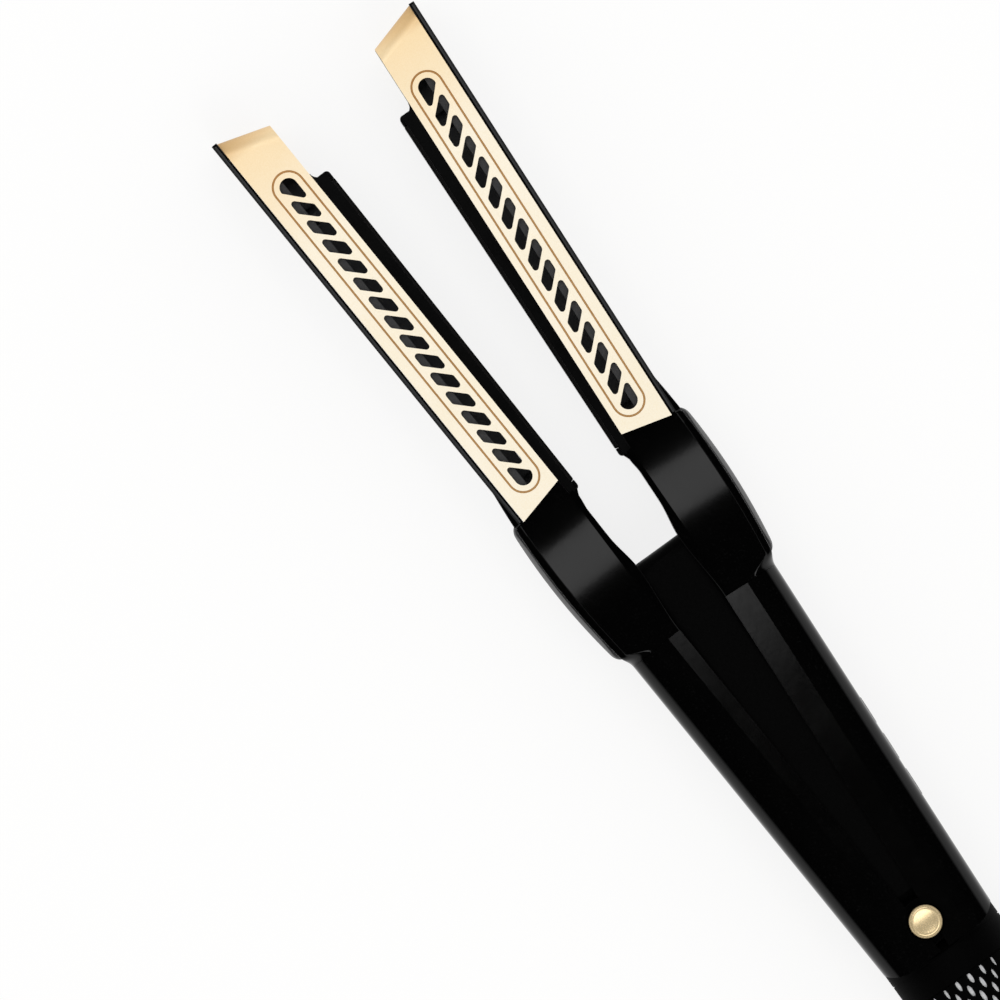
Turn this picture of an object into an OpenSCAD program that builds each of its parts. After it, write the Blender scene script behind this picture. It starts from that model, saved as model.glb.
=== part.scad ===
// Hair straightener with two hinged, vented arms on a round tail.
// It lies on its back. X runs from the tail to the tips, Z is up.
// The origin is on the hinge axis, at the surface that the part lies on.

/* [Hinge] */
// Angle between each arm's line and the middle when the arms are open
arm_open_deg = 3.19; // [2.9:0.01:4]
// Angle that stays between an arm's line and the middle when the plates meet
arm_shut_deg = 0.62; // [0.5:0.01:0.9]
// Diameter of the hinge pin
pin_d = 4; // [3:0.1:4.6]
// Diameter of the round caps over the pin
cap_d = 8.8; // [7:0.1:10]
// Height that the front cap stands proud of the handle
cap_proud = 0.6; // [0.2:0.1:1.2]
// Thickness of one hinge lug
lug_t = 2.4; // [1.8:0.1:2.6]
// Radius of the round end of a hinge lug
lug_r = 6.2; // [5:0.1:7]
// Thickness of one hinge washer
washer_t = 0.4; // [0.3:0.05:0.5]
// Wire diameter of the opening spring
spring_wire_d = 1; // [0.8:0.1:1.2]

/* [Handle] */
// Half the width and half the depth of the closed handle
handle_half = 17.2; // [16.6:0.1:18.5]
// Radius of the handle's outer edges
handle_corner = 7; // [5:0.5:12]
// Wall of the handle halves
handle_wall = 2.2; // [1.8:0.1:2.4]
// Length of the handle halves in front of the hinge
handle_len = 99; // [92:1:104]
// Distance from the arm's line to the inner edge of its handle half
half_gap = 1.8; // [1.4:0.1:2.2]

/* [Arms] */
// Depth of an arm, front face to rear face
arm_depth = 28; // [27:0.5:30]
// Distance from the hinge to the outer corner of the tip
arm_tip = 272.6; // [268:0.5:280]
// Distance from the arm's line to the inner edge of the panels
arm_inner = 1.9; // [1.6:0.1:2.2]
// Thickness of the black outer strip
spine_t = 1.5; // [1.2:0.1:1.8]
// Distance from the hinge to the outer end of the arm's black base
base_end = 146.2; // [144:0.2:148]
// Slant of the end of the black base
base_slant_deg = 11.6; // [5:0.2:14]
// Slant of the tip
tip_slant_deg = 19.3; // [10:0.2:24]
// Radius over which the panels roll off at the tip
tip_roll = 4.5; // [3:0.1:6]
// Height of the swelling under the thumb pad
swell_h = 2.2; // [1.2:0.1:2.8]
// Greatest thickness of the thumb pad
pad_t = 1.66; // [1.2:0.02:2]
// Width of the thumb pad
pad_w = 20; // [16:0.5:22]

/* [Panels] */
// Thickness of the vented panels
panel_t = 1.6; // [1.2:0.1:2]
// Number of slanted vents in a panel
vent_count = 16; // [8:1:16]
// Spacing of the vents along the arm
vent_pitch = 6.36; // [5.6:0.02:6.4]
// Distance from the hinge to the middle of the first vent
vent_first = 155.9; // [155:0.1:157]
// Distance from the arm's line to the middle of the vent row
vent_mid = 8.2; // [7.8:0.1:8.6]
// Width of the row of vents
vent_w = 4.94; // [4:0.02:5.6]
// Thickness of the bars between vents
vent_bar = 1.2; // [0.9:0.05:1.8]
// Angle between the bars and the arm
vent_slant_deg = 43.5; // [38:0.5:60]
// Half width of the groove that runs round the vents
groove_half = 4.2; // [3.8:0.1:4.8]
// Width of that groove
groove_w = 0.5; // [0.3:0.05:0.8]
// Depth of that groove
groove_depth = 0.3; // [0.2:0.05:0.5]

/* [Plates] */
// Distance from the hinge to the carrier's base end
carrier_x = 144; // [142:0.5:145]
// Length of a plate carrier
carrier_len = 105.5; // [95:0.5:108]
// Width of a plate carrier
carrier_w = 26.4; // [25:0.1:26.8]
// Width of the plate's working face
plate_w = 20.4; // [16:0.2:20.6]
// Gap from each plate to the middle when the arms are closed
plate_gap = 0.12; // [0.08:0.02:0.3]
// Height that a plate stands proud of its carrier
plate_proud = 0.98; // [0.9:0.02:1.4]
// Travel of a plate on its cushions
plate_travel = 0.8; // [0.4:0.1:0.8]

/* [Core] */
// Room from the side of the air core to the outside of the handle half beside it
core_room = 7.6; // [7.4:0.1:8.4]
// Distance from the hinge to the front end of the core
core_len = 119; // [114:0.5:122]
// Gap between the core and the handle walls in front of and behind it
core_sink = 0.4; // [0.3:0.1:1]
// Wall of the core shells
core_wall = 1.6; // [1.2:0.1:2]
// Radius of the core's long edges
core_edge = 4; // [2:0.5:6]
// Radius of the core's front end, seen from the side
core_nose = 4.3; // [3:0.1:6]

/* [Tail] */
// Outer radius of the tail
tail_r = 16.8; // [16:0.1:17.2]
// Distance from the hinge to the front of the round grille
grille_x = 17; // [16:0.5:20]
// Length of the grille
grille_len = 45; // [38:1:56]
// Length of the tail's end cap
end_cap_len = 10; // [9:0.5:14]
// Number of grille holes round the tail
grille_holes = 18; // [12:2:22]
// Number of rows of grille holes
grille_rows = 8; // [4:1:9]
// Radius of the cord's hole in the gland
cord_r = 3.6; // [3:0.1:4]
// Radius of the fan
fan_r = 12.4; // [11:0.1:12.6]
// Number of fan blades
fan_blades = 7; // [5:1:9]

/* [Buttons] */
// Radius of a button
button_r = 4; // [3.2:0.1:4.4]
// Spacing of the buttons
button_pitch = 11; // [10.8:0.2:13]
// Distance from the hinge to the first button
button_x = 32; // [30:0.5:36]
// Travel of a button
button_travel = 0.6; // [0.4:0.1:0.7]
// Height that a button stands proud
button_proud = 0.2; // [0.1:0.1:0.5]

/* [Hidden] */
$fn = 48;
far = 60;                     // longer than the part is wide or deep
slip = 0.15;                  // gap round parts that are pushed together
run_fit = 0.05;               // radial gap of a turning fit
free_gap = 0.3;               // gap round a part that slides
mid_z = handle_half;
arm_half = arm_depth / 2;
pin_r = pin_d / 2;
cap_r = cap_d / 2;
cap_gap = 0.6;
handle_flat = handle_half - handle_corner;
handle_in = handle_half - handle_wall;
lug_gap = washer_t + 0.2;
lug_top = handle_in - 0.2;
lug_low = lug_top - lug_t - lug_gap;
core_half = handle_half - core_room;
core_flat = lug_low - lug_t - lug_gap;         // half depth of the core at the hinge
core_deep = handle_in - core_sink;             // half depth of the core elsewhere
neck_x = lug_r + 3;                            // half length of the core's thin part
boss_r = pin_r + 2.2;
spine_in = handle_half - spine_t;
panel_out = spine_in - 0.1;
floor_in = arm_half - panel_t;
base_top = handle_half - 0.3;
base_cut = core_len + 1.2;                     // where the arm's own air passage begins
ramp_x = handle_len + 13;                      // where the base begins to thin
swell_x0 = handle_len - 1;
swell_x1 = base_end + 10;
swell_end = swell_x1 + 2;                      // past the end, where the swelling has sunk into the strip
inner_crown = 0.9;                             // the base's inner side is this far from the arm's line
vent_side = vent_pitch - vent_bar / sin(vent_slant_deg);
vent_last = vent_first + (vent_count - 1) * vent_pitch;
row_x0 = vent_first - 0.3;
row_x1 = vent_last + 0.8;
duct_y = vent_mid + 0.5;
duct_wall = 1.2;
duct_half = floor_in - 0.5;
duct_x0 = base_end + 4.5;
duct_x1 = row_x1 + 6;
rib_t = 1.2;                                   // rib of the duct that parts the front air from the rear air
rib_gap = 0.35;
carrier_end = carrier_x + carrier_len;
carrier_half = carrier_w / 2;
carrier_face = plate_gap + plate_proud;
carrier_side = arm_inner - 0.05;
tray_half = floor_in - 0.1;
rim_t = 0.65;                                  // carrier rim that holds the plate in
lip_y = carrier_face + rim_t + slip;           // front of the plate's flange
lip_half = plate_w / 2 + 1;
lip_t = 1;
heater_y = lip_y + lip_t;
heater_t = 1.1;
sheet_y = heater_y + heater_t;
sheet_t = 0.4;
wire_z = 5;
wire_hole_r = 1;
cushion_y = sheet_y + sheet_t + 0.1;
cushion_t = plate_travel + 0.9;
pocket_back = cushion_y + cushion_t;
carrier_back = pocket_back + 1;
plate_inset = 2.6;
plate_x = carrier_x + plate_inset;
plate_len = carrier_len - 2 * plate_inset;
carrier_screws = [carrier_x + 9, carrier_end - 7];
screw_r = 1;
head_r = 1.9;
tongue_y = handle_in - 2.4;
tongue_x = handle_len - 3;                     // where the tongue's screws are
dome_r = 29.6;                                 // round front end of the tail, seen from the side
dome_x = -4 - dome_r;
dome_gap = 0.7;
seal_r = tail_r - 1.5;                         // inside of the grille
cage_r = seal_r - 1.8;
cage_in = cage_r - 1.2;
tail_end = -(grille_x + grille_len + end_cap_len);
cap_front = -(grille_x + grille_len) - 0.1;
housing_back = -grille_x - 10;
cage_x0 = cap_front + 0.3;
cage_x1 = housing_back - 0.1;
motor_r = 10.5;
motor_x0 = cage_x0 + 6;
motor_x1 = cage_x1 - 3;
shaft_r = 1.5;
fan_x0 = cage_x1 + 0.6;
fan_x1 = -grille_x + 1.5;
core_back = -grille_x + 2;
gland_r = cord_r + 2.4;
board_t = 1.2;
switch_t = 1.2;
stem_t = 0.4;                                  // stem between a button's flange and its switch
flange_top = handle_in - 0.2;
flange_t = 1.1;
stem_y = flange_top - flange_t - stem_t;
switch_y = stem_y - 0.1 - button_travel - switch_t;
board_y = switch_y - board_t;
board_half = core_half - 1;
post_z = board_half - 1.6;
post_r = 1.3;
peg_r = 0.6;
panel_x0 = button_x - button_r - 4;            // ends of the control panel
panel_x1 = button_x + 2 * button_pitch + button_r + 28;
control_half = 5.4;
display_len = 18;
display_end = 6;                               // from the display to the panel's end
control_t = 0.9;
display_x = [panel_x1 - display_end - display_len, panel_x1 - display_end];
display_half = 3.4;
core_screw_first = 34;
core_screw_last = core_len - 13;
core_screws_x = [core_screw_first, (core_screw_first + core_screw_last) / 2, core_screw_last];
power_x = [core_screws_x[0] + 6, core_screws_x[1] - 6];
power_half = core_half - core_wall - 0.6;
leg_h = 5;                                     // height of the power board's legs
choke = [8, power_half - 1.6];                 // length and height of the choke on the power board
relay = [8, power_half / 2.6];
capacitor_r = 2.6;
board_edge = 1.4;                              // from the power board's edge to what stands on it
lead_r = 0.7;
lead_off = min(handle_flat + (handle_corner - handle_wall - 2.1 * lead_r) * sqrt(0.5), floor_in - 1);
mount_w = 4;                                   // width of a rubber ring round the motor
boss_len = 1.6;                                // bearing boss at each end of the motor
boss_out = 4;
cool_r = 1.4;                                  // holes in the motor's front, and where they are
cool_off = 7;
cage_slot_r = 3;
cage_slot_x = 7.5;
tongue_len = 6;
tongue_reach = 8;
tongue_half = 9.5;
swell_drop = 2;                                // fall of the swelling from its crown to the arm's edges
base_wall = 1.9;
port_half = 9;                                 // half depth of the core's ports
port_depth = 10;
window_x = [12, 24];                           // openings for the legs of the spring
window_half = 3;

BLACK = "#161617";
SATIN = "#212223";
GREY = "#3a3b3d";
GOLD = "#ecd2a6";
STEEL = "#b4b6b8";
COPPER = "#b8703c";
WHITE = "#e6e4de";

// Places: side 1 is the left arm, at +Y, and side -1 is the right arm.
module on_core() {
    translate([0, 0, mid_z]) children();
}
module on_side(side) {
    if (side > 0) children();
    else mirror([0, 1, 0]) children();
}
module on_arm(side) {
    on_core() on_side(side) rotate([0, 0, arm_open_deg]) children();
}
module plate_turn() {
    rotate([0, 0, -arm_shut_deg]) children();
}
module on_plate(side) {
    on_arm(side) plate_turn() children();
}

// Solids raised from outlines in the three main planes
module along_x(x0, x1) {
    translate([x0, 0, 0]) rotate([90, 0, 90]) linear_extrude(x1 - x0) children();
}
module along_y(y0, y1) {
    translate([0, y1, 0]) rotate([90, 0, 0]) linear_extrude(y1 - y0) children();
}
module along_z(z0, z1) {
    translate([0, 0, z0]) linear_extrude(z1 - z0) children();
}
module rod_y(x, z, y0, y1, r) {
    translate([x, y0, z]) rotate([-90, 0, 0]) cylinder(h = y1 - y0, r = r);
}
module block(x, y, z) {
    translate([x[0], y[0], z[0]]) cube([x[1] - x[0], y[1] - y[0], z[1] - z[0]]);
}
module ring_x(x0, x1, r0, r1) {
    along_x(x0, x1) difference() {
        circle(r1);
        circle(r0);
    }
}
module slot_2d(x0, x1, r) {
    translate([x0, -r]) square([x1 - x0, 2 * r]);
    for (x = [x0, x1]) translate([x, 0]) circle(r);
}

// Convex outline with round corners: a circle in each corner and the flat sides between them
function unit(v) = v / norm(v);
function left_of(v) = [-v[1], v[0]];
module round_poly(p, r) {
    n = len(p);
    before = [for (i = [0 : n - 1]) left_of(unit(p[i] - p[(i + n - 1) % n]))];
    after = [for (i = [0 : n - 1]) left_of(unit(p[(i + 1) % n] - p[i]))];
    mids = [for (i = [0 : n - 1]) p[i] + (before[i] + after[i]) * r / (1 + before[i] * after[i])];
    polygon([for (i = [0 : n - 1]) for (side = [before[i], after[i]]) mids[i] - side * r]);
    for (c = mids) translate(c) circle(r);
}
module round_rect(half_w, half_h, r) {
    round_poly([[-half_w, -half_h], [half_w, -half_h], [half_w, half_h], [-half_w, half_h]], r);
}

// Tube with flat sides along a list of points, none of whose stretches runs along Z
function tangent(p, i) = unit(p[min(i + 1, len(p) - 1)] - p[max(i - 1, 0)]);
module tube(p, r, sides) {
    n = len(p);
    rings = [for (i = [0 : n - 1])
        let (t = tangent(p, i), a = unit(cross(t, [0, 0, 1])), b = cross(a, t))
        for (k = [0 : sides - 1]) p[i] + r * (cos(360 * k / sides) * a + sin(360 * k / sides) * b)];
    walls = [for (i = [0 : n - 2]) for (k = [0 : sides - 1])
        let (a = i * sides + k, b = i * sides + (k + 1) % sides)
        for (f = [[a, b, b + sides], [a, b + sides, a + sides]]) f];
    last = (n - 1) * sides;
    ends = [for (k = [1 : sides - 2]) for (f = [[0, k + 1, k], [last, last + k, last + k + 1]]) f];
    polyhedron(rings, concat(walls, ends));
}

// Half of the handle's outline, seen along X, round at its two outer edges
module handle_outline(half, corner) {
    flat = half - corner;
    translate([-handle_half, -half]) square([handle_half + flat, 2 * half]);
    translate([-handle_half, -flat]) square([handle_half + half, 2 * flat]);
    for (z = [-flat, flat]) translate([flat, z]) circle(corner);
}
module handle_cavity(x0, x1) {
    along_x(x0, x1) handle_outline(handle_in, handle_corner - handle_wall);
}
// The tail's round front end, as the handle halves meet it when they are open
module tail_dome(r) {
    along_y(-far, far) translate([dome_x, 0]) circle(r, $fn = 120);
}
module cap_clearance() {
    along_z(-far, far) circle(cap_r + cap_gap);
}
// The left half has its outermost lug in front, the right half behind.
module lugs(side) {
    front = side > 0 ? lug_top : lug_low;
    rear = side > 0 ? lug_low : lug_top;
    for (z = [front - lug_t, -rear])
        along_z(z, z + lug_t) {
            circle(lug_r);
            translate([-lug_r, 0]) square([2 * lug_r, handle_in + 0.5]);
        }
    difference() {
        block([-lug_r, lug_r], [half_gap + 0.5, handle_in],
            side > 0 ? [lug_top - 0.5, handle_in + 0.5] : [-handle_in - 0.5, 0.5 - lug_top]);
        cap_clearance();
    }
}
module handle_shell(side) {
    color(BLACK) {
        difference() {
            union() {
                difference() {
                    along_x(dome_x + dome_r - 8, handle_len) intersection() {
                        handle_outline(handle_half, handle_corner);
                        translate([half_gap, -far]) square([far, 2 * far]);
                    }
                    handle_cavity(-far, handle_len + 1);
                    cap_clearance();
                }
                intersection() {
                    lugs(side);
                    along_x(-far, handle_len) handle_outline(handle_half - 0.5, handle_corner - 0.5);
                }
            }
            rotate([0, 0, -arm_open_deg]) tail_dome(dome_r + dome_gap);
            along_z(-far, far) circle(pin_r + run_fit);
            tongue_holes();
            if (side < 0) control_cuts();
        }
        if (side < 0) board_posts();
    }
}

// The arm frame's tongue lies in the handle half and is screwed to it from inside.
tongue_z = [-6.5, 6.5];
module tongue_holes() {
    for (z = tongue_z) rod_y(tongue_x, z, tongue_y - 1, handle_in + 1, screw_r + run_fit);
}
module tongue() {
    intersection() {
        union() {
            block([handle_len - tongue_len, handle_len + tongue_reach], [tongue_y, handle_in - slip],
                [-tongue_half, tongue_half]);
        }
        along_x(0, handle_len + 0.2) handle_outline(handle_in - slip, handle_corner - handle_wall - slip);
    }
    block([handle_len + 0.1, handle_len + tongue_reach], [tongue_y, handle_in + 0.5],
        [2.5 - tongue_half, tongue_half - 2.5]);
}
function seat_y(x) = carrier_back - x * tan(arm_shut_deg);  // back of the carrier, in the arm's frame
module arm_screws() {
    color(STEEL) {
        for (z = tongue_z) {
            rod_y(tongue_x, z, tongue_y - 1, handle_in + 0.8, screw_r);
            rod_y(tongue_x, z, tongue_y - 1.2, tongue_y, head_r);
        }
        for (x = carrier_screws) {
            rod_y(x, 0, seat_y(x) - 1.5, duct_y + duct_wall + 0.5, screw_r);
            rod_y(x, 0, seat_y(x) - 1.8, seat_y(x) - 1.03, head_r);
        }
    }
}

// Curved black base of an arm. It starts as the handle's outline and thins to the arm's depth.
function ramp(x) =
    let (t = max(0, min(1, (x - ramp_x) / (base_end - ramp_x))))
    base_top + (arm_half - base_top) * (1 - cos(180 * t)) / 2;
module base_side_view() {
    steps = [for (k = [0 : 18]) ramp_x + k * (base_end - ramp_x) / 18];
    top = concat([[handle_len, base_top]], [for (x = steps) [x, ramp(x)]], [[swell_end, arm_half]]);
    polygon(concat(top, [for (i = [len(top) - 1 : -1 : 0]) [top[i][0], -top[i][1]]]));
}
module swell() {
    half = (swell_x1 - swell_x0) / 2;
    plan_r = (half * half + swell_h * swell_h) / (2 * swell_h);
    side_r = (arm_half * arm_half + swell_drop * swell_drop) / (2 * swell_drop);
    crown = handle_half + swell_h;
    intersection() {
        translate([(swell_x0 + swell_x1) / 2, crown - plan_r, -far])
            cylinder(h = 2 * far, r = plan_r, $fn = 300);
        along_x(swell_x0, swell_end) intersection() {
            translate([crown - side_r, 0]) circle(side_r, $fn = 200);
            translate([-10, -far]) square([far, 2 * far]);
        }
    }
}
module base_inner_side() {
    rise = 1.5;
    r = (base_top * base_top + rise * rise) / (2 * rise);
    along_x(handle_len, swell_end) translate([inner_crown + r, 0]) circle(r, $fn = 200);
}
module shoulder_round() {
    x = [handle_len, swell_end];
    block(x, [-far, far], [-handle_flat, handle_flat]);
    block(x, [-far, handle_flat], [-far, far]);
    block([ramp_x, swell_end], [-far, far], [-far, far]);
    for (z = [-handle_flat, handle_flat]) translate([handle_len, handle_flat, z]) rotate([0, 90, 0])
        cylinder(h = ramp_x - handle_len, r1 = handle_corner, r2 = handle_corner + 4, $fn = 96);
}
module past_base() {
    translate([base_end, spine_in, 0]) rotate([0, 0, base_slant_deg])
        block([0, 200], [-far, far], [-far, far]);
}
module arm_frame() {
    color(BLACK) difference() {
        union() {
            difference() {
                intersection() {
                    along_y(0, far) base_side_view();
                    swell();
                    base_inner_side();
                    shoulder_round();
                }
                handle_cavity(handle_len - 1, base_cut);
            }
            tongue();
            block([base_end, arm_tip + 0.3], [spine_in, handle_half], [-arm_half, arm_half]);
        }
        tongue_holes();
        block([base_cut - 1, swell_end], [inner_crown + base_wall, panel_out], [0.9 - floor_in, floor_in - 0.9]);
        difference() {
            past_base();
            block([base_end - 1, arm_tip + 9], [spine_in, far], [-far, far]);
        }
        // room for the plate carrier
        block([carrier_x - 0.4, swell_end], [-5, carrier_side + 0.1], [-far, far]);
        block([carrier_x - 0.4, swell_end], [-5, duct_y], [-floor_in - 0.05, floor_in + 0.05]);
    }
}

// Thumb pad on the swelling
module thumb_pad() {
    x0 = handle_len + 3;
    x1 = base_end + 1;
    half = (x1 - x0) / 2;
    crown = handle_half + swell_h + pad_t;
    drop = 1.5;
    plan_r = (half * half + drop * drop) / (2 * drop);
    side_r = (pad_w * pad_w / 4 + 1) / 2;
    color(SATIN) difference() {
        intersection() {
            along_y(handle_half - 1, far) slot_2d(x0 + pad_w / 2, x1 - pad_w / 2, pad_w / 2);
            translate([(x0 + x1) / 2, crown - plan_r, -far]) cylinder(h = 2 * far, r = plan_r, $fn = 300);
            along_x(x0 - 1, x1 + 1) translate([crown - side_r, 0]) circle(side_r, $fn = 200);
        }
        swell();
    }
}

// Vented panels
module panel_plan() {
    span = panel_out - arm_inner;
    lead = base_end + 0.1 + 0.1 * tan(base_slant_deg);
    polygon([
        [lead, panel_out], [lead + span * tan(base_slant_deg), arm_inner],
        [arm_tip - (span + 0.1) * tan(tip_slant_deg), arm_inner],
        [arm_tip - 0.1 * tan(tip_slant_deg), panel_out]
    ]);
}
// Space of the arm whose front and rear edges roll off along the slanted tip
module rolled_tip(inset) {
    r = tip_roll - inset;
    flat = arm_half - tip_roll;
    translate([arm_tip, spine_in, 0]) rotate([0, 0, -tip_slant_deg])
        along_y(-far, far) {
            translate([-200, -flat - r]) square([200 - tip_roll, 2 * (flat + r)]);
            translate([-200, -flat]) square([200 - inset, 2 * flat]);
            for (z = [-flat, flat]) translate([-tip_roll, z]) circle(r);
        }
}
module vent_2d(i) {
    x = vent_first + i * vent_pitch;
    low = i == 0 ? -5 : -vent_side / 2;
    high = i == vent_count - 1 ? 5 : vent_side / 2;
    y = vent_w / 2;
    lean = y / tan(vent_slant_deg);
    round_poly([
        [x - lean + low, -y], [x - lean + high, -y],
        [x + lean + high, y], [x + lean + low, y]
    ], 0.7, $fn = 24);
}
module vents_2d() {
    translate([0, vent_mid]) intersection() {
        slot_2d(row_x0, row_x1, vent_w / 2);
        for (i = [0 : vent_count - 1]) vent_2d(i);
    }
}
module groove_2d() {
    translate([0, vent_mid]) difference() {
        slot_2d(row_x0, row_x1, groove_half + groove_w / 2);
        slot_2d(row_x0, row_x1, groove_half - groove_w / 2);
    }
}
module vented_panel() {
    color(GOLD) difference() {
        intersection() {
            along_z(arm_half - tip_roll, arm_half) panel_plan();
            rolled_tip(0);
        }
        rolled_tip(panel_t);
        along_z(0, far) vents_2d();
        along_z(arm_half - groove_depth, far) groove_2d();
    }
}

// Black block that closes the tip between the two panels
module tip_cap() {
    x0 = carrier_end + 1;
    wall = 1.6;
    color(BLACK) difference() {
        intersection() {
            along_z(-floor_in, floor_in) panel_plan();
            union() {
                rolled_tip(panel_t + 0.02);
                intersection() {
                    rolled_tip(0.3);
                    block([x0, arm_tip + 9], [-9, far],
                        [tip_roll - arm_half + 0.1, arm_half - tip_roll - 0.1]);
                }
            }
            block([x0, arm_tip + 9], [-far, far], [-far, far]);
        }
        block([x0 - 1, duct_x1 + 0.5], [arm_inner + wall, far], [-far, far]);
        block([x0 - 1, arm_tip - 9], [arm_inner + wall, panel_out - wall],
            [wall - floor_in, floor_in - wall]);
    }
}

// Air duct in the outer half of an arm, open at the base, with slots towards the vents
module air_duct() {
    slots = 10;
    run = duct_x1 - duct_x0 - 14;
    color(GREY) difference() {
        union() {
            block([duct_x0, duct_x1], [duct_y, panel_out], [-duct_half, duct_half]);
            for (x = carrier_screws) rod_y(x, 0, seat_y(x) + 0.05, duct_y + 0.1, 2.6);
            along_z(-rib_t / 2, rib_t / 2) polygon([
                [duct_x0, duct_y + 0.1], [duct_x0, seat_y(duct_x0) + rib_gap],
                [duct_x1, seat_y(duct_x1) + rib_gap], [duct_x1, duct_y + 0.1]
            ]);
        }
        block([duct_x0 - 1, duct_x1 - duct_wall], [duct_y + duct_wall, panel_out - duct_wall],
            [duct_wall - duct_half, duct_half - duct_wall]);
        for (i = [0 : slots - 1], z = [-6, 6])
            along_y(duct_y - 1, duct_y + duct_wall + 1)
                translate([duct_x0 + 7 + i * run / (slots - 1), z]) slot_2d(-2.4, 2.4, 0.9);
        for (x = carrier_screws) rod_y(x, 0, 0, duct_y + duct_wall + 1, screw_r + run_fit);
    }
}

// Tray that the floating plate sits in, with the hollow curve at its tip end
module carrier_plan() {
    curve_r = 2.5;
    curve_x = carrier_end + curve_r - 0.5;
    intersection() {
        rotate(-arm_shut_deg) round_poly([
            [carrier_x, carrier_face], [carrier_end, carrier_face],
            [carrier_end, carrier_face + 9], [carrier_x, carrier_face + 9]
        ], 1.2);
        translate([0, -far]) square([arm_tip, far + carrier_side]);
    }
    difference() {
        translate([carrier_end - 1.5, 0]) square([curve_x - carrier_end + 1.5, carrier_side]);
        translate([curve_x, carrier_side - curve_r - 0.1]) circle(curve_r);
    }
}
module plate_carrier() {
    color(BLACK) difference() {
        union() {
            along_z(-carrier_half, carrier_half) carrier_plan();
            plate_turn() block([carrier_x + 0.5, carrier_end - 0.5], [carrier_face + 1, carrier_back],
                [-tray_half, tray_half]);
        }
        plate_turn() {
            x = [plate_x - free_gap, plate_x + plate_len + free_gap];
            block(x, [-5, pocket_back], [-plate_w / 2 - free_gap, plate_w / 2 + free_gap]);
            block(x, [carrier_face + rim_t, pocket_back], [-lip_half - free_gap, lip_half + free_gap]);
            for (z = [-wire_z, wire_z])
                along_x(carrier_x - 1, plate_x) translate([pocket_back - wire_hole_r + 0.1, z]) circle(wire_hole_r);
        }
        for (x = carrier_screws) rod_y(x, 0, 0, far, screw_r + run_fit);
    }
}

// Floating plate with its heater, sheet and fuse
plate_range = [plate_x, plate_x + plate_len];
module heater_plate() {
    color(SATIN) {
        block(plate_range, [plate_gap, lip_y], [-plate_w / 2, plate_w / 2]);
        block(plate_range, [lip_y, heater_y], [-lip_half, lip_half]);
    }
}
module heater_element() {
    color(WHITE) {
        block([plate_x + 9, plate_range[1] - 5], [heater_y, sheet_y], [-7, 7]);
        for (z = [-wire_z, wire_z])
            block([plate_x + 0.5, plate_x + 10], [heater_y, heater_y + 0.5], [z - 1.5, z + 1.5]);
    }
}
module insulator_sheet() {
    color("#c9a35a") block([plate_x + 14, plate_range[1] - 3], [sheet_y, sheet_y + sheet_t], [-8.3, 8.3]);
}
module heat_fuse() {
    r = 0.9;
    color(STEEL) along_x(plate_x + plate_len / 2, plate_x + plate_len / 2 + 9)
        translate([heater_y + r, lip_half - r - 0.6]) circle(r);
}
module plate_cushions() {
    color("#8c3b30") for (t = [0.2, 0.5, 0.8])
        rod_y(plate_x + t * plate_len, 0, cushion_y, pocket_back, 2.6);
}
// Two leads from the heater back to the handle, in the arm's frame
module heater_leads() {
    x = carrier_x;
    y = pocket_back - wire_hole_r + 0.1 - x * tan(arm_shut_deg);
    w = lead_off;
    color("#d8d4c8") for (s = [-1, 1])
        tube([[x + plate_inset + 0.6, y, wire_z * s], [x - 1, y, wire_z * s],
            [x - 5, y + 0.9, (wire_z + 0.3) * s], [x - 12, w - 4, (w - 4.4) * s], [x - 19, w - 0.9, (w - 2) * s],
            [core_len, w - 0.2, (w - 1) * s], [core_len - 7, w, (w - 0.2) * s], [handle_len, w, w * s],
            [core_len / 2, w, w * s], [window_x[1] + 2, w, w * s]], lead_r, 6);
}

// Buttons and display in the outer side of the right handle half
module control_outline(gap = 0) {
    slot_2d(panel_x0 + control_half, panel_x1 - control_half, control_half + gap);
}
module control_holes() {
    for (i = [0 : 2]) translate([button_x + i * button_pitch, 0]) circle(button_r + free_gap);
    translate([display_x[0], -display_half]) square([display_x[1] - display_x[0], 2 * display_half]);
}
module control_cuts() {
    along_y(handle_half - control_t, far) control_outline(0.05);
    along_y(handle_in - 2, far) control_holes();
}
module posts_2d(r) {
    for (x = [panel_x0 + 1, panel_x1 - 2], z = [-post_z, post_z]) translate([x, z]) circle(r);
}
module board_posts() {
    along_y(switch_y, handle_in + 0.8) posts_2d(post_r);
    along_y(board_y - 0.2, switch_y + 0.1) posts_2d(peg_r);
}
module control_panel() {
    color(BLACK) along_y(handle_half - control_t, handle_half - 0.02) difference() {
        control_outline();
        control_holes();
    }
}
module display_lens() {
    color("#0c0c10") block([display_x[0] + 0.1, display_x[1] - 0.1], [handle_in + 1, handle_half - 0.02],
        [0.1 - display_half, display_half - 0.1]);
}
module display_module() {
    color(WHITE) block([display_x[0] + 0.5, display_x[1] - 0.5], [switch_y, handle_in + 1],
        [0.4 - display_half, display_half - 0.4]);
}
module control_board() {
    color("#1f5c3a") along_y(board_y, switch_y) difference() {
        translate([panel_x0 - 1, -board_half]) square([panel_x1 - panel_x0 + 1, 2 * board_half]);
        posts_2d(peg_r + run_fit);
    }
}
module button_switches() {
    color(STEEL) for (i = [0 : 2]) translate([button_x + i * button_pitch, 0, 0]) {
        block([-2.2, 2.2], [switch_y, switch_y + switch_t - 0.4], [-2.2, 2.2]);
        rod_y(0, 0, switch_y + switch_t - 0.5, switch_y + switch_t, 1.1);
    }
}
module button(i) {
    x = button_x + i * button_pitch;
    color(SATIN) {
        rod_y(x, 0, stem_y, stem_y + stem_t + 0.1, 1.4);
        rod_y(x, 0, stem_y + stem_t, flange_top, button_r + 0.9);
        rod_y(x, 0, stem_y + stem_t, handle_half + button_proud, button_r);
    }
}

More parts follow.
